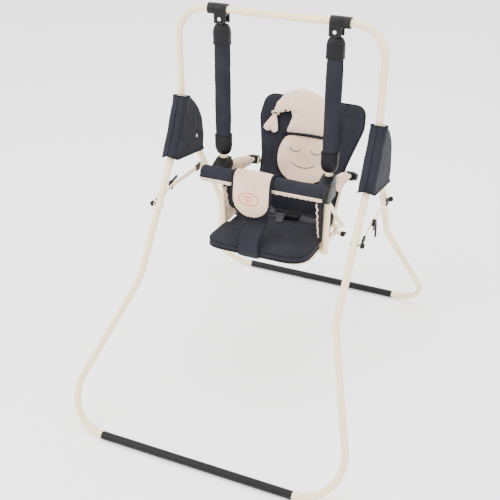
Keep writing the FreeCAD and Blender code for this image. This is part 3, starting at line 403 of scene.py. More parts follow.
def loft(name: str, rings: Sequence[Sequence[Vector]], finish: Finish, ends: bool = True) -> bpy.types.Object:
    """Join closed rings of equal length into a skin.

    Args:
        name: the piece's name.
        rings: the rings in order.
        finish: the surface.
        ends: whether the first and last rings are closed.

    Returns:
        The new object.
    """
    count = len(rings[0])
    verts = [p for ring in rings for p in ring]
    faces = []
    for level in range(len(rings) - 1):
        for i in range(count):
            a, b = level * count + i, level * count + (i + 1) % count
            faces.append((a, b, b + count, a + count))
    if ends:
        for start in (0, (len(rings) - 1) * count):
            verts.append(sum(verts[start:start + count], Vector()) / count)
            hub = len(verts) - 1
            faces += [(start + i, start + (i + 1) % count, hub) for i in range(count)]
    piece = add_piece(name, verts, faces, finish)
    outward(piece)
    smooth(piece)
    return piece


def tube(name: str, path: Sequence[Vector], radius: float, finish: Finish, closed: bool = False,
         flat: float = 1) -> bpy.types.Object:
    """Sweep a round or flattened cord along a path, as piping or thread.

    Args:
        name: the piece's name.
        path: the points to follow.
        radius: the cord's radius.
        finish: its surface.
        closed: whether the path joins up.
        flat: how much thinner it is one way.

    Returns:
        The new object.
    """
    rings = []
    count = len(path)
    side = Vector((0.3, 0.9, 0.2)).normalized()
    for i, spot in enumerate(path):
        before = path[i - 1] if (i or closed) else path[0]
        after = path[(i + 1) % count] if (i < count - 1 or closed) else path[-1]
        ahead = (after - before).normalized()
        side = (side - ahead * side.dot(ahead)).normalized()
        up = ahead.cross(side)
        turns = [TURN * k / 8 for k in range(8)]
        rings.append([spot + side * math.cos(turn) * radius + up * math.sin(turn) * radius * flat
                      for turn in turns])
    if closed:
        rings.append(list(rings[0]))
    return loft(name, rings, finish, ends=not closed)


def rounded(corners: Sequence[Point], radii: Sequence[float], count: int = 160) -> list[Point]:
    """Round a polygon's corners and space its points evenly.

    Args:
        corners: the corners in order.
        radii: the radius at each corner.
        count: how many points to return.

    Returns:
        The closed outline.
    """
    dense: list[Vector] = []
    total = len(corners)
    for i, corner in enumerate(corners):
        here = Vector(corner)
        back = Vector(corners[i - 1]) - here
        ahead = Vector(corners[(i + 1) % total]) - here
        half = back.angle(ahead) / 2
        run = min(radii[i] / math.tan(half), back.length * 0.49, ahead.length * 0.49)
        start, end = here + back.normalized() * run, here + ahead.normalized() * run
        for k in range(17):
            share = k / 16
            dense.append((1 - share) ** 2 * start + 2 * share * (1 - share) * here + share ** 2 * end)
    return [tuple(point) for point in even(dense, count)]


def even(points: Sequence[Vector], count: int) -> list[Vector]:
    """Space points evenly round a closed line, keeping its first."""
    return spaced(list(points) + [points[0]], count + 1)[:-1]


def spaced(path: Sequence[Vector], count: int) -> list[Vector]:
    """Points at equal distances along an open path.

    Args:
        path: the path's own points.
        count: how many points to return.

    Returns:
        The new points, with the path's two ends.
    """
    total = [0.0]
    for a, b in zip(path, path[1:]):
        total.append(total[-1] + (b - a).length)
    out, i = [], 0
    for k in range(count):
        want = total[-1] * k / (count - 1)
        while i < len(path) - 2 and total[i + 1] < want:
            i += 1
        out.append(path[i].lerp(path[i + 1], (want - total[i]) / max(1e-9, total[i + 1] - total[i])))
    return out


def curved(knots: Sequence[Vector], start: int, share: float) -> Vector:
    """A point between two knots of a smooth curve that passes through them all.

    Args:
        knots: the curve's knots.
        start: the knot before the point.
        share: how far the point is towards the next knot.

    Returns:
        The point.
    """
    a, b, c, d = (knots[max(0, min(len(knots) - 1, start + k))] for k in (-1, 0, 1, 2))
    return 0.5 * ((2 * b) + (c - a) * share + (2 * a - 5 * b + 4 * c - d) * share ** 2
                  + (3 * b - a - 3 * c + d) * share ** 3)


def pillow(name: str, outline: Sequence[Point], low: float, high: float, place: Matrix, finish: Finish,
           crown: float = 2.5, rings: int = 14, seam: float = 0.5) -> bpy.types.Object:
    """A stuffed form inside an outline, full in the middle and pulled in at its seam.

    Args:
        name: the piece's name.
        outline: its closed outline, in its own plane.
        low: its back, along its own Z.
        high: its front.
        place: where its plane lies.
        finish: its surface.
        crown: how square its edge is; 2 is round.
        rings: how many rings cross each face.
        seam: where the seam lies between the back, 0, and the front, 1.

    Returns:
        The new object.
    """
    count = len(outline)
    middle = Vector((sum(p[0] for p in outline) / count, sum(p[1] for p in outline) / count, 0))
    mid = low + (high - low) * seam
    verts = [Vector((x, y, mid)) for x, y in outline]
    faces: list[tuple[int, ...]] = []
    for target in (high, low):
        previous = list(range(count))
        for ring in range(1, rings + 1):
            angle = ring / rings * math.pi / 2
            share = math.cos(angle) ** (2 / crown) if ring < rings else 0
            rise = math.sin(angle) ** (2 / crown)
            level = mid + (target - mid) * rise
            if ring == rings:
                verts.append(middle + Vector((0, 0, level)))
                faces += [(previous[i], previous[(i + 1) % count], len(verts) - 1) for i in range(count)]
                break
            start = len(verts)
            verts += [middle + (Vector((x, y, 0)) - middle) * share + Vector((0, 0, level)) for x, y in outline]
            current = list(range(start, start + count))
            faces += [(previous[i], previous[(i + 1) % count], current[(i + 1) % count], current[i])
                      for i in range(count)]
            previous = current
    piece = add_piece(name, [place @ v for v in verts], faces, finish)
    outward(piece)
    smooth(piece, 60)
    return piece


def shape(piece: bpy.types.Object, move: Callable[[Vector, Vector], Vector]) -> None:
    """Push a piece's points about, as by hand.

    Args:
        piece: the object.
        move: gives each point's new place from its place and its normal.
    """
    mesh = piece.data
    fresh = [move(v.co.copy(), v.normal.copy()) for v in mesh.vertices]
    for vertex, co in zip(mesh.vertices, fresh):
        vertex.co = co
    mesh.update()


def creases(piece: bpy.types.Object, depth: float, size: float, seed: float = 0,
            stretch: tuple[float, float, float] = (1, 1, 1)) -> None:
    """Add soft uneven swells and creases all over a cloth piece."""
    def move(spot: Vector, normal: Vector) -> Vector:
        """One point's swell."""
        at = Vector(c * s / size for c, s in zip(spot, stretch)) + Vector((seed, seed * 1.7, -seed))
        return spot + normal * depth * (noise.noise(at) + 0.5 * noise.noise(at * 2.1))
    shape(piece, move)


def puff(piece: bpy.types.Object, voxel: float, cap: float, hold: Callable[[Vector], bool]) -> None:
    """Fill a closed cloth form with air by simulation, and keep the result in its mesh.

    Args:
        piece: the form, a little smaller than it ends up.
        voxel: the remesh size.
        cap: how far a point may move.
        hold: says which points are sewn down.
    """
    finish_with(piece, "REMESH", mode="VOXEL", voxel_size=voxel, use_smooth_shade=True)
    cloth = piece.modifiers.new("Cloth", "CLOTH")
    cloth.settings.quality = 5
    cloth.settings.use_pressure = True
    cloth.settings.uniform_pressure_force = 4
    cloth.settings.tension_stiffness = 12
    cloth.settings.bending_stiffness = 0.4
    cloth.settings.effector_weights.gravity = 0
    group = piece.vertex_groups.new(name="sewn")
    group.add([v.index for v in piece.data.vertices if hold(v.co)], 1, "ADD")
    cloth.settings.vertex_group_mass = "sewn"
    scene = bpy.context.scene
    for frame in range(1, 21):
        scene.frame_set(frame)
    blown = piece.evaluated_get(bpy.context.evaluated_depsgraph_get()).data
    moved = [v.co.copy() for v in blown.vertices]
    piece.modifiers.remove(cloth)
    for vertex, target in zip(piece.data.vertices, moved):
        step = target - vertex.co
        vertex.co += step if step.length <= cap else step.normalized() * cap
    piece.vertex_groups.clear()
    scene.frame_set(1)
    finish_with(piece, "SUBSURF", levels=1, render_levels=1)
    smooth(piece, 60)
    LOG.info("filled %s: %d points", piece.name, len(piece.data.vertices))


def softened(node: bpy.types.Object, name: str, edge: float, finish: Finish) -> bpy.types.Object:
    """Copy a hard part, ease its sharp edges and dress it.

    Args:
        node: the part to copy.
        name: the copy's name.
        edge: the width of the eased edge.
        finish: its surface.

    Returns:
        The eased copy.
    """
    mesh = node.data.copy()
    piece = bpy.data.objects.new(name, mesh)
    bpy.context.scene.collection.objects.link(piece)
    mesh.materials.clear()
    mesh.materials.append(finish.material())
    pick(piece)
    bpy.ops.object.mode_set(mode="EDIT")
    bpy.ops.mesh.select_all(action="SELECT")
    bpy.ops.mesh.remove_doubles(threshold=2e-5)
    bpy.ops.mesh.dissolve_limited(angle_limit=math.radians(2))
    bpy.ops.object.mode_set(mode="OBJECT")
    finish_with(piece, "BEVEL", width=edge, segments=2, limit_method="ANGLE", angle_limit=math.radians(35),
                use_clamp_overlap=True)
    smooth(piece, 40)
    return piece


def dress(frame: dict, finish: Finish, nodes: Iterable[str]) -> None:
    """Give the frame's own nodes a finish."""
    for node in nodes:
        for slot in frame["nodes"][node].material_slots:
            slot.material = finish.material()


def near_outline(outline: Sequence[Point], reach: float) -> Callable[[Vector], bool]:
    """Make a test of whether a point is close to a flat outline.

    Args:
        outline: the outline's points.
        reach: how close is close.

    Returns:
        The test, which takes a point in the outline's own frame.
    """
    tree = KDTree(len(outline))
    for i, (x, y) in enumerate(outline):
        tree.insert(Vector((x, y, 0)), i)
    tree.balance()

    def close(local: Vector) -> bool:
        """Whether this point is close to the outline."""
        return tree.find(Vector((local.x, local.y, 0)))[2] < reach
    return close


def laid_on(piece: bpy.types.Object, spot: Vector, toward: Vector, lift: float) -> Vector:
    """Lay a point of stitching on a piece's surface.

    Args:
        piece: the piece.
        spot: a point in front of or near its surface.
        toward: the direction in which the piece lies.
        lift: how proud of the surface the stitching sits.

    Returns:
        The point on the surface, or the given one if the piece isn't there.
    """
    far = 60 * MM
    hit, where, _, _ = piece.ray_cast(spot - toward * far, toward, distance=2 * far)
    return where - toward * lift if hit else spot


def superellipse(half_a: float, half_b: float, count: int, power: float = 3) -> list[Point]:
    """A rounded rectangle's outline about its middle."""
    out = []
    for i in range(count):
        angle = TURN * i / count
        c, s = math.cos(angle), math.sin(angle)
        out.append((math.copysign(abs(c) ** (2 / power), c) * half_a,
                    math.copysign(abs(s) ** (2 / power), s) * half_b))
    return out


# ---------------------------------------------------------------- sub-assemblies
@dataclass
class SubAssembly:
    """A group of pieces that ride on bodies of the frame."""

    frame: dict

    def joint(self, name: str) -> Vector:
        """Where a joint's pivot is."""
        return Vector(next(j["pos_m"] for j in self.frame["joints"] if j["name"] == name))

    def settle(self, piece: bpy.types.Object, body: str, slot: str, nodes: Sequence[str] = (),
               fill: float | None = None) -> bpy.types.Object:
        """Hand a finished piece to the frame.

        Args:
            piece: the piece.
            body: the body that it rides on.
            slot: the record's material slot that it belongs to; not used.
            nodes: the frame's nodes that it stands for.
            fill: how full it is, if it is padded; not used.

        Returns:
            The same piece.
        """
        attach(piece, body)
        if nodes:
            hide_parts(*nodes)
        LOG.info("%s rides on %s, %d faces", piece.name, body, len(piece.data.polygons))
        return piece

    def eased(self, node: str, body: str, edge: float) -> None:
        """Replace a black moulded part of the frame with a copy whose edges are eased.

        Args:
            node: the frame's node.
            body: the body that it rides on.
            edge: the width of the eased edge.
        """
        piece = softened(self.frame["nodes"][node], f"{node}_moulding", edge, BLACK_PLASTIC)
        self.settle(piece, body, "black_plastic", (node,))

    def piping(self, name: str, line: Sequence[Vector], radius: float, body: str = "swing",
               closed: bool = False, flat: float = 1) -> None:
        """Sew a dark cord or a bound edge along a line.

        Args:
            name: the piece's name.
            line: the line that it follows.
            radius: its radius.
            body: the body that it rides on.
            closed: whether the line joins up.
            flat: how much thinner it is one way.
        """
        self.settle(tube(name, line, radius, NAVY_EDGE, closed, flat), body, "dark_fabric")


@dataclass
class Stand(SubAssembly):
    """The folding tube stand: paint, floor sleeves, knobs and braces."""

    def build(self) -> None:
        """Dress the tubes, links, plates, bolts and moulded sleeves, and ease the edges of the boots, knobs and
        latch levers.
        """
        dress(self.frame, CREAM_PAINT, ("upper_frame", "front_leg_frame", "rear_leg_frame"))
        dress(self.frame, STEEL, ("stand_bolts", "rear_brace_bolts", "hub_plates"))
        dress(self.frame, BLACK_PLASTIC, ("front_floor_sleeve", "rear_floor_sleeve", "bar_collars"))
        for side in Side:
            word = side.word
            for end in ("front", "rear"):
                dress(self.frame, CREAM_PAINT, (f"brace_{end}_link_{word}",))
                self.eased(f"brace_{end}_boot_{word}", f"brace_{end}_{word}", BOOT_EDGE)
                self.eased(f"brace_knob_{end}_{word}", f"{end}_knob_{word}", KNOB_EDGE)
            self.eased(f"latch_lever_{word}", f"latch_{word}", BRACKET_EDGE)


@dataclass
class HubCovers(SubAssembly):
    """The cloth covers over the hubs, open above and below, bound at their edges."""

    middle: float = 327 * MM
    front_round: float = 19.5 * MM
    rear_round: float = 15 * MM
    sag: float = 12 * MM
    around: int = 96
    levels: int = 30
    wall: float = 2.2 * MM
    front: tuple[Point, ...] = ((-0.112, -0.105), (-0.096, -0.076), (-0.074, -0.040), (-0.055, -0.002),
                                (-0.035, 0.034), (-0.021, 0.065))
    rear: tuple[Point, ...] = ((0.114, -0.150), (0.118, -0.105), (0.112, -0.052), (0.084, 0.0), (0.032, 0.050))
    bulge: float = 6.5 * MM
    snap_inset: float = 4.2 * MM
    snap_back: float = 52 * MM
    snap_drop: float = 92 * MM
    snap_radius: float = 5.5 * MM
    snap_depth: float = 3 * MM

    def build(self) -> None:
        """Make one cover for each side."""
        for side in Side:
            self.cover(side)

    @staticmethod
    def along(line: Sequence[Point], share: float) -> Vector:
        """A point part of the way along an edge, smoothly."""
        spot = share * (len(line) - 1)
        i = min(int(spot), len(line) - 2)
        return curved([Vector(point) for point in line], i, spot - i)

    def ring(self, side: Side, share: float, grow: float = 0) -> list[Vector]:
        """One level of the cover, from its bottom edge, 0, to its top edge, 1: cloth drawn round two tubes.

        Args:
            side: the side of the stand.
            share: how far up the cover.
            grow: how far outside the cloth.

        Returns:
            The ring's points, from the rear edge round the outside.
        """
        hub = self.joint("stand_fold")
        middle = side.value * self.middle
        front, rear = self.along(self.front, share), self.along(self.rear, share)
        ahead = (rear - front).normalized()
        sag = self.sag * (1 - share) ** 6
        front_round = self.front_round + grow
        rear_round = self.rear_round + grow - 3 * MM * share
        half = self.around // 2
        out = []
        for k in range(self.around):
            at_rear = k <= self.around // 4 or k > 3 * self.around // 4
            turn = TURN * k / self.around
            if at_rear:
                size, base = rear_round, rear - ahead * rear_round
            else:
                size, base = front_round, front + ahead * front_round
            spot = base + ahead * size * math.copysign(abs(math.cos(turn)) ** 0.8, math.cos(turn))
            across = size * math.copysign(abs(math.sin(turn)) ** 0.8, math.sin(turn))
            level = 1 - abs(k % half - half / 2) / (half / 2)
            bow = self.bulge * math.sin(turn)
            out.append(Vector((middle + side.value * (across + bow), hub.y + spot.x,
                               hub.z + spot.y - sag * level)))
        return even(out, len(out))

    def cover(self, side: Side) -> None:
        """Make a cover, its bindings, its two seams and, on the left, its snap."""
        word, body = side.word, "stand"
        rings = [self.ring(side, level / self.levels) for level in range(self.levels + 1)]
        shell = loft(f"hub_cover_cloth_{word}", rings, NAVY_CLOTH, ends=False)
        creases(shell, 1.6 * MM, 0.045, 3 + side.value)
        creases(shell, 0.5 * MM, 0.014, 5 + side.value, (1, 1, 0.4))
        finish_with(shell, "SOLIDIFY", thickness=self.wall, offset=-1)
        finish_with(shell, "SUBSURF", levels=1, render_levels=1)
        smooth(shell, 60)
        self.settle(shell, body, "dark_fabric", (f"hub_cover_{word}",), 0.3)
        for name, share in (("bottom", 0.0), ("top", 1.0)):
            self.piping(f"hub_cover_{name}_binding_{word}", self.ring(side, share, 0.4 * MM), 2.4 * MM, body,
                        closed=True)
        steps = [level / 40 for level in range(41)]
        for name, index in (("front", self.around // 2), ("rear", 0)):
            line = [self.ring(side, s, 0.6 * MM)[index] for s in steps]
            self.piping(f"hub_cover_{name}_seam_{word}", line, 1.7 * MM, body)
        if side is Side.LEFT:
            self.snap()

    def snap(self) -> None:
        """The press stud near the left cover's rear edge."""
        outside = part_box("hub_cover_left")[1].x
        hub = self.joint("stand_fold")
        where = Vector((outside - self.snap_inset, hub.y + self.snap_back, hub.z - self.snap_drop))
        deselect()
        bpy.ops.mesh.primitive_cylinder_add(vertices=32, radius=self.snap_radius, depth=self.snap_depth,
                                            location=where, rotation=(0, math.pi / 2, 0))
        stud = bpy.context.object
        stud.name = "hub_cover_snap"
        bpy.ops.object.mode_set(mode="EDIT")
        bpy.ops.mesh.select_all(action="DESELECT")
        bpy.ops.object.mode_set(mode="OBJECT")
        cap = max(stud.data.polygons, key=lambda f: (stud.matrix_world @ f.center).x)
        cap.select = True
        bpy.ops.object.mode_set(mode="EDIT")
        bpy.ops.mesh.select_mode(type="FACE")
        bpy.ops.mesh.inset(thickness=1.6 * MM, depth=0)
        bpy.ops.mesh.inset(thickness=0.5 * MM, depth=-0.9 * MM)
        bpy.ops.object.mode_set(mode="OBJECT")
        settle(stud)
        stud.data.materials.append(STEEL.material())
        finish_with(stud, "BEVEL", width=0.6 * MM, segments=3, limit_method="ANGLE")
        smooth(stud)
        self.settle(stud, "stand", "steel")


@dataclass
class Hangers(SubAssembly):
    """The brackets, padded sleeves and black caps on the hanger tubes."""

    around: int = 48
    cap_wide: float = 27 * MM
    cap_deep: float = 20.5 * MM
    collar_radius: float = 12.6 * MM
    collar_tall: float = 10 * MM

    def build(self) -> None:
        """Make both hangers."""
        dress(self.frame, STEEL, ("hanger_bolts",))
        for side in Side:
            word = side.word
            dress(self.frame, CREAM_PAINT, (f"hanger_tube_{word}",))
            self.eased(f"hanger_bracket_{word}", "swing", BRACKET_EDGE)
            self.sleeve(side)
            self.caps(side)

    def section(self, side: Side, level: float, wide: float, deep: float, power: float = 2.8) -> list[Vector]:
        """A rounded section round the hanger tube at one height."""
        middle = self.middle(side)
        return [Vector((middle.x + x, middle.y + y, level))
                for x, y in superellipse(wide, deep, self.around, power)]

    @staticmethod
    def middle(side: Side) -> Vector:
        """A hanger tube's axis."""
        low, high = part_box(f"hanger_tube_{side.word}")
        return (low + high) / 2

    def sleeve(self, side: Side) -> None:
        """The long cloth sleeve, a little twisted and puckered, with its seam."""
        word = side.word
        low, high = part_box(f"hanger_sleeve_{word}")
        half_wide, half_deep = (high.x - low.x) / 2 - 0.5 * MM, (high.y - low.y) / 2
        rings = []
        levels = 56
        for k in range(levels + 1):
            share = k / levels
            pinch = 1 - 0.07 * (math.exp(-share * 14) + math.exp(-(1 - share) * 14))
            sway = 1 + 0.02 * math.sin(share * 9 + side.value)
            rings.append(self.section(side, low.z - 8 * MM + share * (high.z - low.z + 16 * MM),
                                      half_wide * pinch * sway, half_deep * pinch / sway))
        sleeve = loft(f"hanger_sleeve_cloth_{word}", rings, NAVY_CLOTH)
        creases(sleeve, 1.3 * MM, 0.05, 11 + side.value, (1, 1, 0.6))
        creases(sleeve, 0.5 * MM, 0.016, 7 + side.value, (0.5, 0.5, 2.2))
        self.settle(sleeve, "swing", "dark_fabric", (f"hanger_sleeve_{word}",), 0.5)
        line = [ring[0] + Vector((0.4 * MM, 0, 0)) for ring in rings[2:-2]]
        self.piping(f"hanger_sleeve_seam_{word}", line, 1.5 * MM)

    def caps(self, side: Side) -> None:
        """The black rounded caps over the sleeve's two ends, and the collar below them."""
        word = side.word
        low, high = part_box(f"hanger_sleeve_{word}")
        box_low, box_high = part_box("hanger_caps")
        wide, deep = self.cap_wide, self.cap_deep
        for name, start, end in (("upper", high.z, box_high.z - 1 * MM), ("lower", low.z, box_low.z + 13 * MM)):
            rings = []
            steps = 26
            for k in range(steps + 1):
                share = k / steps
                dome = max(0.0, (share - 0.55) / 0.45)
                shrink = math.sqrt(max(0.0, 1 - dome ** 2.2)) * 0.52 + 0.48
                lip = 1 + 0.012 * math.exp(-((share - 0.02) / 0.03) ** 2)
                rings.append(self.section(side, start + (end - start) * share, wide * shrink * lip,
                                          deep * (shrink * 0.85 + 0.15) * lip, 3 - dome))
            cap = loft(f"hanger_cap_{name}_{word}", rings, BLACK_RUBBER)
            creases(cap, 0.5 * MM, 0.03, 21 + side.value)
            self.settle(cap, "swing", "black_plastic", ("hanger_caps",), 0.7)
            hem = tube(f"hanger_cap_{name}_hem_{word}",
                       self.section(side, start + (end - start) * 0.05, wide + 0.3 * MM, deep + 0.3 * MM),
                       1.3 * MM, BLACK_RUBBER, closed=True)
            self.settle(hem, "swing", "black_plastic")
        where = self.middle(side)
        deselect()
        bpy.ops.mesh.primitive_cylinder_add(vertices=40, radius=self.collar_radius, depth=self.collar_tall,
                                            location=(where.x, where.y, box_low.z + 5.5 * MM))
        ring = bpy.context.object
        ring.name = f"hanger_collar_{word}"
        settle(ring)
        ring.data.materials.append(CREAM_PAINT.material())
        finish_with(ring, "BEVEL", width=1.5 * MM, segments=3, limit_method="ANGLE")
        smooth(ring)
        self.settle(ring, "swing", "cream_tube")


@dataclass
class Handrail(SubAssembly):
    """The padded handrail, its brackets, the pommel flap and the strap below it."""

    around: int = 40
    gather_drop: float = 4.5 * MM
    edge_points: int = 900
    flap_rows: int = 150
    flap_columns: int = 96
    binding_width: float = 7.5 * MM
    flap_gap: float = 5 * MM
    badge_rise: float = 69 * MM
    badge_ahead: float = 10.4 * MM
    badge_wide: float = 34 * MM
    badge_tall: float = 21 * MM
    heart_size: float = 0.72 * MM

    def build(self) -> None:
        """Make the rail's pieces."""
        dress(self.frame, CREAM_PAINT, ("handrail_tube",))
        for side in Side:
            self.eased(f"corner_bracket_{side.word}", "swing", BRACKET_EDGE)
        self.rail()
        self.flap()
        self.strap()

    def rail_section(self, x: float, first: float, last: float, grow: float, count: int) -> list[Vector]:
        """Part of the rail's rounded section, from one angle to another, in turns from the front."""
        low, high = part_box("handrail_pad")
        middle, half = (low + high) / 2, (high - low) / 2
        share = abs((x - middle.x) / half.x)
        end = math.sqrt(max(0.03, 1 - max(0.0, (share - 0.955) / 0.045) ** 2))
        out = []
        for k in range(count + 1):
            angle = TURN * (first + (last - first) * k / count)
            c, s = math.cos(angle), math.sin(angle)
            out.append(Vector((x, middle.y - math.copysign(abs(c) ** 0.8, c) * (half.y + grow) * end,
                               middle.z + math.copysign(abs(s) ** 0.8, s) * (half.z + grow) * end)))
        return out

    def rail(self) -> None:
        """The dark upper part, the gathered light underside and the piping between them."""
        low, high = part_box("handrail_pad")
        steps = 130
        xs = [low.x + (high.x - low.x) * (k + 0.001) / (steps + 0.002) for k in range(steps + 1)]
        rings = [self.rail_section(x, 0, 1, 0, self.around)[:-1] for x in xs]
        core = loft("handrail_pad_cloth", rings, NAVY_CLOTH)
        core.data.materials.append(CREAM_CLOTH.material())
        middle = (low + high) / 2
        for face in core.data.polygons:
            face.material_index = 1 if face.center.z < middle.z - self.gather_drop else 0

        def gather(spot: Vector, normal: Vector) -> Vector:
            """Soft swells above, close gathers below."""
            depth = max(0.0, min(1.0, (middle.z - 4 * MM - spot.z) / (8 * MM)))
            ripple = math.sin(spot.x * 330 + 3.4 * noise.noise(Vector((spot.x * 22, 0, 0)))) * 1.0 * MM * depth
            ripple += 1.6 * MM * depth
            swell = noise.noise(Vector((spot.x * 22, spot.y * 30, spot.z * 30))) * 1.6 * MM
            return spot + normal * (ripple + swell)
        shape(core, gather)
        finish_with(core, "SUBSURF", levels=1, render_levels=1)
        smooth(core, 60)
        self.settle(core, "swing", "dark_fabric", ("handrail_pad",), 0.7)
        for name, angle in (("front", -0.021), ("rear", 0.521)):
            line = [self.rail_section(x, angle, angle, 0.8 * MM, 1)[0] for x in xs]
            self.piping(f"handrail_piping_{name}", line, 1.3 * MM)

    def flap_path(self) -> list[Vector]:
        """The flap's middle line: from behind the rail, over it and down its front."""
        low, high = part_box("handrail_pad")
        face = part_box("pommel_flap")
        middle, half = (low + high) / 2, (high - low) / 2
        path = []
        for k in range(16):
            angle = math.pi * (1 - k / 15) * 0.96 + 0.1
            path.append(Vector((0, middle.y + math.cos(angle) * (half.y + self.flap_gap),
                                middle.z + math.sin(angle) * (half.z + self.flap_gap))))
        path.sort(key=lambda p: -p.y)
        front = (face[0].y + face[1].y) / 2
        bottom = face[0].z
        start = path[-1]
        for k in range(1, 26):
            share = k / 25
            path.append(Vector((0, start.y + (front - 3 * MM - start.y) * min(1, share * 2.2)
                                - 5 * MM * math.sin(share * math.pi), start.z + (bottom - start.z) * share)))
        return path

    def flap(self) -> None:
        """The light cloth flap with its dark bound edge and a plain embroidered badge."""
        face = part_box("pommel_flap")
        middle, half = (face[0].x + face[1].x) / 2, (face[1].x - face[0].x) / 2 - 1 * MM
        path = spaced(self.flap_path(), self.flap_rows)
        length = (path[1] - path[0]).length
        across, rows = self.flap_columns, len(path)
        verts, faces = [], []
        for k, spot in enumerate(path):
            drop = min(1.0, (rows - 1 - k) * length / half)
            wide = half * math.sqrt(max(0.0004, 1 - (1 - drop) ** 2.3))
            ahead = (path[min(k + 1, rows - 1)] - path[max(k - 1, 0)]).normalized()
            out = Vector((0, ahead.z, -ahead.y))
            for i in range(across + 1):
                x = (i / across * 2 - 1) * wide
                verts.append(Vector((middle + x, spot.y, spot.z)) + out * 3.5 * MM * (1 - (x / half) ** 2))
        for k in range(rows - 1):
            for i in range(across):
                a = k * (across + 1) + i
                faces.append((a, a + across + 1, a + across + 2, a + 1))
        edge = [verts[k * (across + 1)] for k in range(rows)]
        edge += [verts[(rows - 1) * (across + 1) + i] for i in range(1, across)]
        edge += [verts[k * (across + 1) + across] for k in reversed(range(rows))]
        edge = spaced(edge, self.edge_points)
        near = KDTree(len(edge))
        for i, spot in enumerate(edge):
            near.insert(spot, i)
        near.balance()
        flap = add_piece("pommel_flap_cloth", verts, faces, CREAM_CLOTH)
        flap.data.materials.append(NAVY_EDGE.material())
        for part in flap.data.polygons:
            part.material_index = 1 if near.find(part.center)[2] < self.binding_width else 0

        def raised(spot: Vector, normal: Vector) -> Vector:
            """Lift the bound edge, dip along its stitching and ruffle the rest a little."""
            gap = near.find(spot)[2]
            lip = 1.3 * MM if gap < self.binding_width else -0.7 * MM * math.exp(
                -((gap - self.binding_width) / (3 * MM)) ** 2)
            return spot + normal * (lip + noise.noise(spot * 26) * 1.2 * MM)
        shape(flap, raised)
        finish_with(flap, "SOLIDIFY", thickness=5 * MM, offset=-0.6)
        smooth(flap, 70)
        self.settle(flap, "swing", "cream_fabric", ("pommel_flap",), 0.3)
        self.badge(flap, middle - 6 * MM, face)

    def badge(self, flap: bpy.types.Object, middle: float, face: tuple[Vector, Vector]) -> None:
        """An oval ring of stitching round a plain heart."""
        height = face[0].z + self.badge_rise
        front = face[0].y - self.badge_ahead

        def on_flap(x: float, z: float) -> Vector:
            """A point of the badge, on the bowed cloth."""
            return laid_on(flap, Vector((middle + x, front, height + z)), Vector((0, 1, 0)), 0.5 * MM)
        ring = [on_flap(self.badge_wide * math.cos(TURN * k / 64), self.badge_tall * math.sin(TURN * k / 64))
                for k in range(64)]
        heart = []
        for k in range(60):
            t = TURN * k / 60
            x = 16 * math.sin(t) ** 3
            z = 13 * math.cos(t) - 5 * math.cos(2 * t) - 2 * math.cos(3 * t) - math.cos(4 * t)
            heart.append(on_flap(x * self.heart_size, z * self.heart_size + 1 * MM))
        for name, line in (("ring", ring), ("heart", heart)):
            self.settle(tube(f"badge_{name}", line, 1.1 * MM, RED_THREAD, closed=True, flat=0.8), "swing",
                        "cream_fabric")

    def strap(self) -> None:
        """The dark strap from the flap down to the seat's front, padded and bound at both edges."""
        low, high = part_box("crotch_strap")
        seat_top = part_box("seat_cushion")[1].z
        middle, half = (low.x + high.x) / 2, (high.x - low.x) / 2 - 1.5 * MM
        knots = [Vector((0, y, z)) for y, z in (
            (high.y - 2 * MM, high.z), (high.y - 6 * MM, high.z - 60 * MM),
            (high.y - 12 * MM, high.z - 100 * MM), (low.y + 22 * MM, seat_top + 26 * MM),
            (low.y + 3 * MM, seat_top + 4 * MM),
            (low.y + 0.5 * MM, seat_top - 18 * MM), (low.y + 4 * MM, low.z))]
        path = [curved(knots, i, k / 10) for i in range(len(knots) - 1) for k in range(10)]
        path.append(knots[-1])
        rings = []
        for i, spot in enumerate(path):
            ahead = (path[min(i + 1, len(path) - 1)] - path[max(i - 1, 0)]).normalized()
            out = Vector((0, ahead.z, -ahead.y))
            if out.y > 0:
                out.negate()
            drift = (i / len(path) - 0.5) * 12 * MM
            rings.append([Vector((middle + drift + x, spot.y, spot.z)) + out * y
                          for x, y in superellipse(half, 3.2 * MM, 36, 2.4)])
        strap = loft("crotch_strap_cloth", rings, NAVY_CLOTH)
        creases(strap, 0.9 * MM, 0.03, 41, (0.6, 1, 2))
        self.settle(strap, "swing", "dark_fabric", ("crotch_strap",), 0.3)
        for name, index in (("left", 18), ("right", 0)):
            self.piping(f"crotch_strap_piping_{name}", [ring[index] for ring in rings], 2.2 * MM)


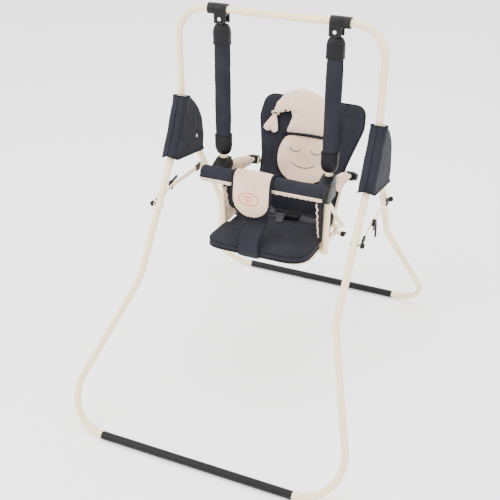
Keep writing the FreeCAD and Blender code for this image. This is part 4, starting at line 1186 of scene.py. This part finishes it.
@dataclass
class Seat(SubAssembly):
    """The seat's frame, cushion, side panels and belt."""

    tilt: float = math.radians(5)
    belt_top: float = 50.5 * MM
    pivot_to_middle: float = 150 * MM

    def build(self) -> None:
        """Make the seat's pieces."""
        dress(self.frame, CREAM_PAINT, ("seat_frame", "seat_struts"))
        dress(self.frame, HARDBOARD, ("seat_board",))
        self.eased("seat_knobs", "swing", SEAT_KNOB_EDGE)
        for side in Side:
            self.eased(f"seat_rear_knob_{side.word}", f"hinge_knob_{side.word}", KNOB_EDGE)
            self.panel(side)
        self.cushion()
        self.waist_roll()
        self.belt()

    def place(self) -> Matrix:
        """The seat's own tilted frame."""
        pivot = self.joint("backrest_recline")
        origin = Vector((0, self.joint("swing_pivot").y, pivot.z + self.pivot_to_middle * math.tan(self.tilt)))
        return Matrix.Translation(origin) @ Matrix.Rotation(-self.tilt, 4, "X")

    def cushion(self) -> None:
        """The broad flat cushion with a crease where the strap crosses and bound edges."""
        place = self.place()
        back = place.inverted()
        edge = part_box("seat_cushion")[1].x
        front, waist, rear = -0.186, -0.030, 0.136
        half, narrow = edge - 2 * MM, edge - 14 * MM
        outline = rounded(((-half, front), (half, front), (half, waist), (narrow, waist + 0.02), (narrow, rear),
                           (-narrow, rear), (-narrow, waist + 0.02), (-half, waist)),
                          (0.062, 0.085, 0.02, 0.02, 0.02, 0.02, 0.02, 0.02), 240)
        bottom, top = 13.5 * MM, 45 * MM
        pad = pillow("seat_cushion_cloth", outline, bottom, top, place, NAVY_CLOTH, crown=7, rings=22,
                     seam=0.42)

        at_edge = near_outline(outline, SEWN_MARGIN)

        def flat_edge(spot: Vector) -> bool:
            """Whether a point is on the underside or at the seam, where the cushion is held."""
            local = back @ spot
            return local.z < bottom + 6 * MM or at_edge(local)

        puff(pad, 6 * MM, 5 * MM, flat_edge)

        def dent(spot: Vector, normal: Vector) -> Vector:
            """Press in the middle seam and the hollow where a child sits."""
            local = back @ spot
            if local.z < bottom + 8 * MM:
                return spot
            hollow = 3.5 * MM * math.exp(-((local.x / 0.1) ** 2 + ((local.y - 0.02) / 0.09) ** 2))
            channel = 3.2 * MM * math.exp(-((local.y - 0.068) / 0.004) ** 2)
            ripples = noise.noise(Vector((local.x * 30, local.y * 26, 4))) * 1.4 * MM
            return spot + Vector((0, 0, ripples - hollow - channel))
        shape(pad, dent)
        self.settle(pad, "swing", "dark_fabric", ("seat_cushion",), 0.6)
        for name, level, radius in (("top", top - 9 * MM, 2.2 * MM), ("bottom", bottom + 4 * MM, 2.4 * MM)):
            line = [place @ Vector((x * 0.993, y * 0.993, level)) for x, y in outline]
            self.piping(f"seat_cushion_piping_{name}", line, radius, closed=True)

    def waist_roll(self) -> None:
        """The slack gathered cloth in the crease between the cushion and the backrest."""
        pivot = self.joint("backrest_recline")
        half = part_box("waist_belt")[1].x - 2 * MM
        steps = 90
        rings = []
        for k in range(steps + 1):
            x = (k / steps * 2 - 1) * half
            swell = 1 + 0.22 * noise.noise(Vector((x * 45, 2, 0)))
            swell *= 0.35 + 0.65 * math.sqrt(max(0.0, 1 - abs(x / half) ** 14))
            lift = 3 * MM * noise.noise(Vector((x * 18, 7, 0)))
            rings.append([Vector((x, pivot.y - 6 * MM + a * swell, pivot.z + 36 * MM + lift + b * swell))
                          for a, b in superellipse(11 * MM, 14 * MM, 28, 2.2)])
        roll = loft("waist_gather", rings, NAVY_CLOTH)
        creases(roll, 2.2 * MM, 0.02, 101, (2.2, 0.7, 0.7))
        self.settle(roll, "swing", "dark_fabric", (), 0.4)

    def panel(self, side: Side) -> None:
        """The cloth side panel with its gathered light strip along the front edge."""
        word = side.word
        base = self.joint("swing_pivot").y
        seat = self.place().translation.z
        corners = ((-0.043, 0.190), (-0.012, 0.046), (0.120, 0.036), (0.133, 0.078), (0.040, 0.172),
                   (0.0, 0.190))
        outline = rounded(corners, (0.006, 0.008, 0.008, 0.015, 0.03, 0.01), 140)
        middle = side.value * (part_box("side_panels")[1].x - 2 * MM)
        place = Matrix(((0, 0, side.value, middle), (1, 0, 0, base), (0, 1, 0, seat), (0, 0, 0, 1)))
        panel = pillow(f"side_panel_cloth_{word}", outline, -1.8 * MM, 1.8 * MM, place, NAVY_CLOTH, crown=5,
                       rings=16)
        creases(panel, 1.1 * MM, 0.035, 51 + side.value, (1, 1, 0.5))
        self.settle(panel, "swing", "dark_fabric", ("side_panels",), 0.2)
        line = [place @ Vector((x, y, 0)) for x, y in outline]
        self.piping(f"side_panel_binding_{word}", line, 2 * MM, closed=True)
        rings = []
        for k in range(60):
            share = k / 59
            y = -0.040 + 0.030 * share
            z = 0.180 - 0.130 * share
            pull = 1 + 0.30 * noise.noise(Vector((share * 26, side.value, 0)))
            inset = 4 * MM + 1.5 * MM * math.sin(share * 31)
            centre = Vector((middle - side.value * inset, base + y, seat + z))
            rings.append([centre + Vector((a * pull, b * pull, 0))
                          for a, b in superellipse(3 * MM, 7 * MM, 14, 2)])
        strip = loft(f"side_panel_gather_{word}", rings, CREAM_CLOTH)
        creases(strip, 1.2 * MM, 0.008, 90 + side.value)
        self.settle(strip, "swing", "cream_fabric")
        corner = rounded(((-0.034, 0.128), (-0.014, 0.046), (0.112, 0.040), (0.060, 0.058), (0.010, 0.078)),
                         (0.006, 0.006, 0.004, 0.03, 0.03), 120)
        inner = Matrix.Translation((-side.value * 3.5 * MM, 0, 0)) @ place
        patch = pillow(f"side_panel_corner_{word}", corner, -2.5 * MM, 2.5 * MM, inner, CREAM_CLOTH, crown=3,
                       rings=18)

        def pleated(spot: Vector, normal: Vector) -> Vector:
            """Draw pleats that fan out from the corner."""
            turn = math.atan2(spot.z - seat - 0.046, spot.y - base + 0.034)
            return spot + normal * 1.6 * MM * math.sin(turn * 26)
        shape(patch, pleated)
        self.settle(patch, "swing", "cream_fabric")

    def belt(self) -> None:
        """The webbing over the cushion, its buckle and a loose end."""
        place = self.place()
        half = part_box("waist_belt")[1].x
        top = self.belt_top
        runs = {
            "across": [Vector((x * half, 0.092 + 0.006 * math.sin(x * 3), top + 2 * MM * math.sin(x * 7)))
                       for x in [k / 20 - 1 for k in range(41)]],
            "left_loop": [Vector((-0.075 + 0.028 * math.cos(t), 0.085 + 0.03 * math.sin(t),
                                  top + 4 * MM + 2 * MM * t))
                          for t in [k * 0.2 for k in range(22)]],
            "crotch": [Vector((-0.01 + 0.01 * t, 0.088 - 0.055 * t, top - 2 * MM + 3 * MM * math.sin(t * 3)))
                       for t in [k / 14 for k in range(15)]],
        }
        for name, path in runs.items():
            line = [place @ p for p in path]
            rings = []
            for i, spot in enumerate(line):
                ahead = (line[min(i + 1, len(line) - 1)] - line[max(0, i - 1)]).normalized()
                up = (Vector((0, -0.35, 1)) - ahead * ahead.dot(Vector((0, -0.35, 1)))).normalized()
                flat = ahead.cross(up)
                rings.append([spot + flat * a + up * b for a, b in superellipse(12.5 * MM, 1.1 * MM, 20, 4)])
            web = loft(f"belt_webbing_{name}", rings, BLACK_WEB)
            self.settle(web, "swing", "black_webbing", ("waist_belt",) if name == "across" else ())
        self.eased("belt_buckle", "swing", KNOB_EDGE)


@dataclass
class Backrest(SubAssembly):
    """The padded backrest with its head pillow, a plain smiling disc under a soft cap."""

    tilt: float = math.radians(31)
    setback: float = 14 * MM
    thick: float = 30 * MM
    disc_middle: Vector = field(default_factory=lambda: Vector((12 * MM, 237 * MM)))
    disc_wide: float = 103 * MM
    disc_tall: float = 98 * MM
    brow: float = 307 * MM

    def build(self) -> None:
        """Make the backrest's pieces."""
        dress(self.frame, CREAM_PAINT, ("backrest_frame",))
        self.pad()
        self.disc()
        self.cap()

    def place(self, depth: float = 0) -> Matrix:
        """The backrest's own frame: X across, Y up it and Z out of its front, at a depth."""
        origin = self.joint("backrest_recline")
        s, c = math.sin(self.tilt), math.cos(self.tilt)
        lift = depth - self.setback
        return Matrix(((1, 0, 0, origin.x), (0, s, -c, origin.y - c * lift), (0, c, s, origin.z + s * lift),
                       (0, 0, 0, 1)))

    def pad(self) -> None:
        """The broad pad, wide at the shoulders, sewn across above the waist and bound all round."""
        place = self.place()
        back = place.inverted()
        corners = ((-0.138, 0.033), (0.138, 0.033), (0.152, 0.222), (0.189, 0.362), (0.181, 0.440),
                   (-0.181, 0.440), (-0.189, 0.362), (-0.152, 0.222))
        radii = (0.025, 0.025, 0.13, 0.07, 0.078, 0.078, 0.07, 0.13)
        outline = rounded(corners, radii, 240)
        pad = pillow("backrest_cloth", outline, 1 * MM, self.thick - 6 * MM, place, NAVY_CLOTH, crown=4.5,
                     rings=22)

        at_edge = near_outline(outline, SEWN_MARGIN)

        def seam(spot: Vector) -> bool:
            """Whether a point is on the flat back or at the seam."""
            local = back @ spot
            return local.z < 6 * MM or at_edge(local)

        puff(pad, 6 * MM, 7 * MM, seam)

        def quilt(spot: Vector, normal: Vector) -> Vector:
            """Sew in the seams and pucker the cloth beside them."""
            local = back @ spot
            if local.z < 8 * MM:
                return spot
            lines = (abs(local.y - 0.095), abs(abs(local.x) - 0.112 - 0.15 * (local.y - 0.2) ** 2) if
                     local.y > 0.11 else 1.0)
            depth = sum(4 * MM * math.exp(-(gap / 0.005) ** 2) for gap in lines)
            near = min(lines)
            pucker = 1.3 * MM * math.sin(local.x * 190 + local.y * 60) * math.exp(-near / 0.018)
            swell = 1.6 * MM * noise.noise(Vector((local.x * 16, local.y * 16, 9)))
            out = (place.to_3x3() @ Vector((0, 0, 1))).normalized()
            return spot + out * (pucker + swell - depth)
        shape(pad, quilt)
        self.settle(pad, "backrest", "dark_fabric", ("backrest_pad",), 0.7)
        line = [place @ Vector((x * 1.004, y, (self.thick - 5 * MM) * 0.5)) for x, y in outline]
        self.piping("backrest_binding", line, 3.4 * MM, "backrest", closed=True)

    def disc(self) -> None:
        """The round light cushion with a plain sleeping face of stitched arcs."""
        place = self.place(self.thick - 3 * MM)
        middle, wide, tall = self.disc_middle, self.disc_wide, self.disc_tall
        brow = self.brow - middle.y
        outline = []
        for x, y in superellipse(wide, tall, 160, 2.15):
            outline.append((middle.x + x, middle.y + (y if y < brow - 0.014 else brow - 0.014 * math.exp(
                -(y - brow + 0.014) / 0.014))))
        disc = pillow("head_disc", outline, 0, 15 * MM, place, CREAM_CLOTH, crown=2.6, rings=20, seam=0.3)
        creases(disc, 0.7 * MM, 0.03, 61)
        self.settle(disc, "backrest", "cream_fabric", ("head_pad",), 0.6)
        line = [place @ Vector((x, y, 4 * MM)) for x, y in outline]
        self.piping("head_disc_binding", line, 4.2 * MM, "backrest", closed=True)

        def stitched(name: str, points: Sequence[Point]) -> None:
            """Lay a line of stitching on the disc."""
            path = []
            for x, y in points:
                reach = min(1.0, (x / wide) ** 2 + (y / tall) ** 2)
                height = 4.5 * MM + 10.5 * MM * (1 - reach ** 1.3) ** 0.77
                spot = place @ Vector((middle.x + x, middle.y + y, height))
                path.append(laid_on(disc, spot, place.to_3x3() @ Vector((0, 0, -1)), 0.4 * MM))
            self.settle(tube(f"stitched_{name}", path, 1.3 * MM, BLACK_THREAD), "backrest", "cream_fabric")
        for name, x in (("left", -0.038), ("right", 0.038)):
            stitched(f"eye_{name}", [(x + 0.019 * math.cos(a), 0.022 - 0.012 * math.sin(a)) for a in
                                     [math.pi * k / 16 for k in range(17)]])
        stitched("smile", [(0.042 * math.cos(a), -0.022 - 0.020 * math.sin(a)) for a in
                           [math.pi * (0.06 + 0.88 * k / 24) for k in range(25)]])

    def cap(self) -> None:
        """The plump soft cap over the disc, its folded tip, the tie and the two-lobed tassel."""
        place = self.place(self.thick - 5 * MM)
        back = place.inverted()
        body = ((-0.078, 0.309), (0.110, 0.313), (0.108, 0.375), (0.076, 0.425), (0.020, 0.456),
                (-0.052, 0.472), (-0.104, 0.452), (-0.132, 0.410), (-0.138, 0.374), (-0.120, 0.368),
                (-0.106, 0.392), (-0.078, 0.396), (-0.066, 0.372), (-0.070, 0.335))
        radii = (0.010, 0.012, 0.05, 0.06, 0.06, 0.05, 0.05, 0.035, 0.006, 0.006, 0.018, 0.014, 0.02, 0.03)
        outline = rounded(body, radii, 240)
        cap = pillow("head_cap", outline, 0, 25 * MM, place, CREAM_PLUSH, crown=2.2, rings=20, seam=0.3)

        at_edge = near_outline(outline, 4 * MM)

        def sewn(spot: Vector) -> bool:
            """Whether a point is at the cap's back or edge."""
            local = back @ spot
            return local.z < 4 * MM or at_edge(local)

        puff(cap, 4.5 * MM, 6 * MM, sewn)

        def folds(spot: Vector, normal: Vector) -> Vector:
            """Draw creases from the inner curve and along the lower edge."""
            local = back @ spot
            if local.z < 5 * MM:
                return spot
            reach = Vector((local.x + 0.078, local.y - 0.385))
            angle = math.atan2(reach.y, reach.x)
            fade = math.exp(-reach.length / 0.035)
            gathers = math.exp(-abs(local.y - 0.312) / 0.010)
            return spot + normal * (2.6 * MM * math.sin(angle * 7) * fade
                                    + 1.0 * MM * math.sin(local.x * 260) * gathers)
        shape(cap, folds)
        self.settle(cap, "backrest", "cream_fabric", ("head_pad",), 0.8)
        band = [place @ Vector((-0.094 + 0.212 * k / 40, self.brow - 0.002 + 0.004 * math.sin(math.pi * k / 40),
                                7 * MM + 9 * MM * math.sin(math.pi * k / 40))) for k in range(41)]
        self.piping("head_cap_band", band, 5.5 * MM, "backrest", flat=0.7)
        start = Vector((-0.129, 0.368))
        tie = [place @ Vector((start.x + 0.013 * math.cos(a), start.y + 0.004 * math.sin(a) + 0.003,
                               9 * MM + 8 * MM * math.sin(a))) for a in [TURN * k / 24 for k in range(24)]]
        self.settle(tube("head_cap_tie", tie, 2.8 * MM, CREAM_PLUSH, closed=True), "backrest", "cream_fabric")
        lobes = (("left", Vector((-0.152, 0.306)), 15 * MM), ("right", Vector((-0.118, 0.302)), 12 * MM))
        for name, end, size in lobes:
            rings = []
            for k in range(19):
                share = k / 18
                spot = start.lerp(end, share)
                wide = size * (0.3 + 0.7 * math.sin(min(1, share * 1.15) * math.pi / 2) ** 1.2)
                wide *= math.sqrt(max(0.02, 1 - max(0.0, (share - 0.86) / 0.14) ** 2))
                ahead = (end - start).normalized()
                across = Vector((-ahead.y, ahead.x))
                rings.append([place @ Vector((spot.x + across.x * a, spot.y + across.y * a, 8 * MM + b))
                              for a, b in superellipse(wide, wide * 0.5, 24, 2)])
            lobe = loft(f"head_cap_tassel_{name}", rings, CREAM_PLUSH)
            creases(lobe, 0.8 * MM, 0.012, 71)
            self.settle(lobe, "backrest", "cream_fabric", (), 0.6)


@dataclass
class Arms(SubAssembly):
    """The recline arms, their loose cloth covers, clamps and knobs."""

    around: int = 48
    slack: float = 1.3

    def build(self) -> None:
        """Make both arms."""
        for side in Side:
            word = side.word
            dress(self.frame, CREAM_PAINT, (f"arm_tube_{word}",))
            self.eased(f"recline_clamp_{word}", f"clamp_{word}", KNOB_EDGE)
            self.eased(f"recline_knob_{word}", f"clamp_knob_{word}", KNOB_EDGE)
            self.cover(side)

    def cover(self, side: Side) -> None:
        """A light cloth tube gathered on the arm, slack and folded below it."""
        word = side.word
        low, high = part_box(f"arm_cover_{word}")
        middle = (low.x + high.x) / 2
        front = Vector((middle, low.y + 4 * MM, high.z - 24 * MM))
        rear = Vector((middle, high.y - 4 * MM, low.z + 24 * MM))
        half = (high.x - low.x) / 2
        rings = []
        steps = 60
        for k in range(steps + 1):
            share = k / steps
            spot = front.lerp(rear, share)
            gather = 1 - 0.35 * (math.exp(-share * 18) + math.exp(-(1 - share) * 18))
            ring = []
            for i in range(self.around):
                angle = TURN * i / self.around
                c, s = math.cos(angle), math.sin(angle)
                fold = 1 + 0.26 * noise.noise(Vector((share * 11 + 0.8 * s, side.value * 2 + 0.5 * c, s * 1.2)))
                fold += 0.10 * noise.noise(Vector((share * 30, 2 * c, 2 * s)))
                slack = self.slack if side is Side.RIGHT else self.slack / 3
                drop = half * (1.0 + (0.45 + slack * math.sin(share * math.pi) ** 1.5) * max(0.0, -s))
                ring.append(spot + Vector((c * half * 0.86 * gather * fold, 0, s * drop * gather * fold * 0.9)))
            rings.append(ring)
        cover = loft(f"arm_cover_cloth_{word}", rings, CREAM_CLOTH)
        creases(cover, 2.2 * MM, 0.022, 81 + side.value, (1, 1.6, 0.7))
        finish_with(cover, "SUBSURF", levels=1, render_levels=1)
        smooth(cover, 60)
        self.settle(cover, f"arm_{word}", "cream_fabric", (f"arm_cover_{word}",), 0.3)


@dataclass
class Studio:
    """The floor, the soft lights and the camera."""

    azimuth: float = math.radians(23.245)
    elevation: float = math.radians(29.87)
    roll: float = 0.0022
    lens: float = 59.71
    eye: Vector = field(default_factory=lambda: Vector((0.8833, -2.2070, 1.8156)))

    def build(self) -> None:
        """Set up the shot."""
        self.floor()
        self.lights()
        self.camera()

    def floor(self) -> None:
        """A wide flat pale floor under an even white world."""
        deselect()
        bpy.ops.mesh.primitive_plane_add(size=16, location=(0, 0, -0.0005))
        floor = bpy.context.object
        floor.name = "studio_floor"
        made = bpy.data.materials.new("studio_white")
        made.use_nodes = True
        shader = made.node_tree.nodes["Principled BSDF"]
        shader.inputs["Base Color"].default_value = (1, 1, 1, 1)
        shader.inputs["Roughness"].default_value = 0.9
        floor.data.materials.append(made)
        world = bpy.data.worlds.new("studio_world")
        world.use_nodes = True
        world.node_tree.nodes["Background"].inputs["Color"].default_value = (1, 1, 1, 1)
        world.node_tree.nodes["Background"].inputs["Strength"].default_value = 2.5
        bpy.context.scene.world = world

    @staticmethod
    def lights() -> None:
        """One big soft key from the upper left, a fill from the right and a top light."""
        lamps = (("key", (-2.4, -2.6, 3.2), 2.6, 150), ("fill", (2.8, -1.6, 2.2), 2.2, 55),
                 ("top", (0, 0.6, 3.6), 3.0, 85))
        for name, where, size, power in lamps:
            lamp = bpy.data.lights.new(name, "AREA")
            lamp.energy = power
            lamp.size = size
            holder = bpy.data.objects.new(name, lamp)
            holder.location = where
            holder.rotation_euler = (Vector((0, 0, 0.6)) - Vector(where)).to_track_quat("-Z", "Y").to_euler()
            bpy.context.scene.collection.objects.link(holder)

    def camera(self) -> None:
        """A camera in front, to the right and above."""
        a, e = self.azimuth, self.elevation
        look = Vector((-math.sin(a) * math.cos(e), math.cos(a) * math.cos(e), -math.sin(e)))
        right = Vector((math.cos(a), math.sin(a), 0))
        up = right.cross(look)
        c, s = math.cos(self.roll), math.sin(self.roll)
        right, up = right * c + up * s, up * c - right * s
        data = bpy.data.cameras.new("camera")
        data.lens = self.lens
        data.sensor_width = 36
        holder = bpy.data.objects.new("camera", data)
        holder.matrix_world = Matrix((
            (right.x, up.x, -look.x, self.eye.x), (right.y, up.y, -look.y, self.eye.y),
            (right.z, up.z, -look.z, self.eye.z), (0, 0, 0, 1)))
        bpy.context.scene.collection.objects.link(holder)
        bpy.context.scene.camera = holder


def main() -> None:
    """Build the whole object and its studio."""
    logging.basicConfig(level=logging.INFO, format="%(name)s: %(message)s")
    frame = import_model()
    Studio().build()
    for kind in (Stand, HubCovers, Hangers, Handrail, Seat, Backrest, Arms):
        kind(frame).build()


if __name__ == "__main__":
    main()
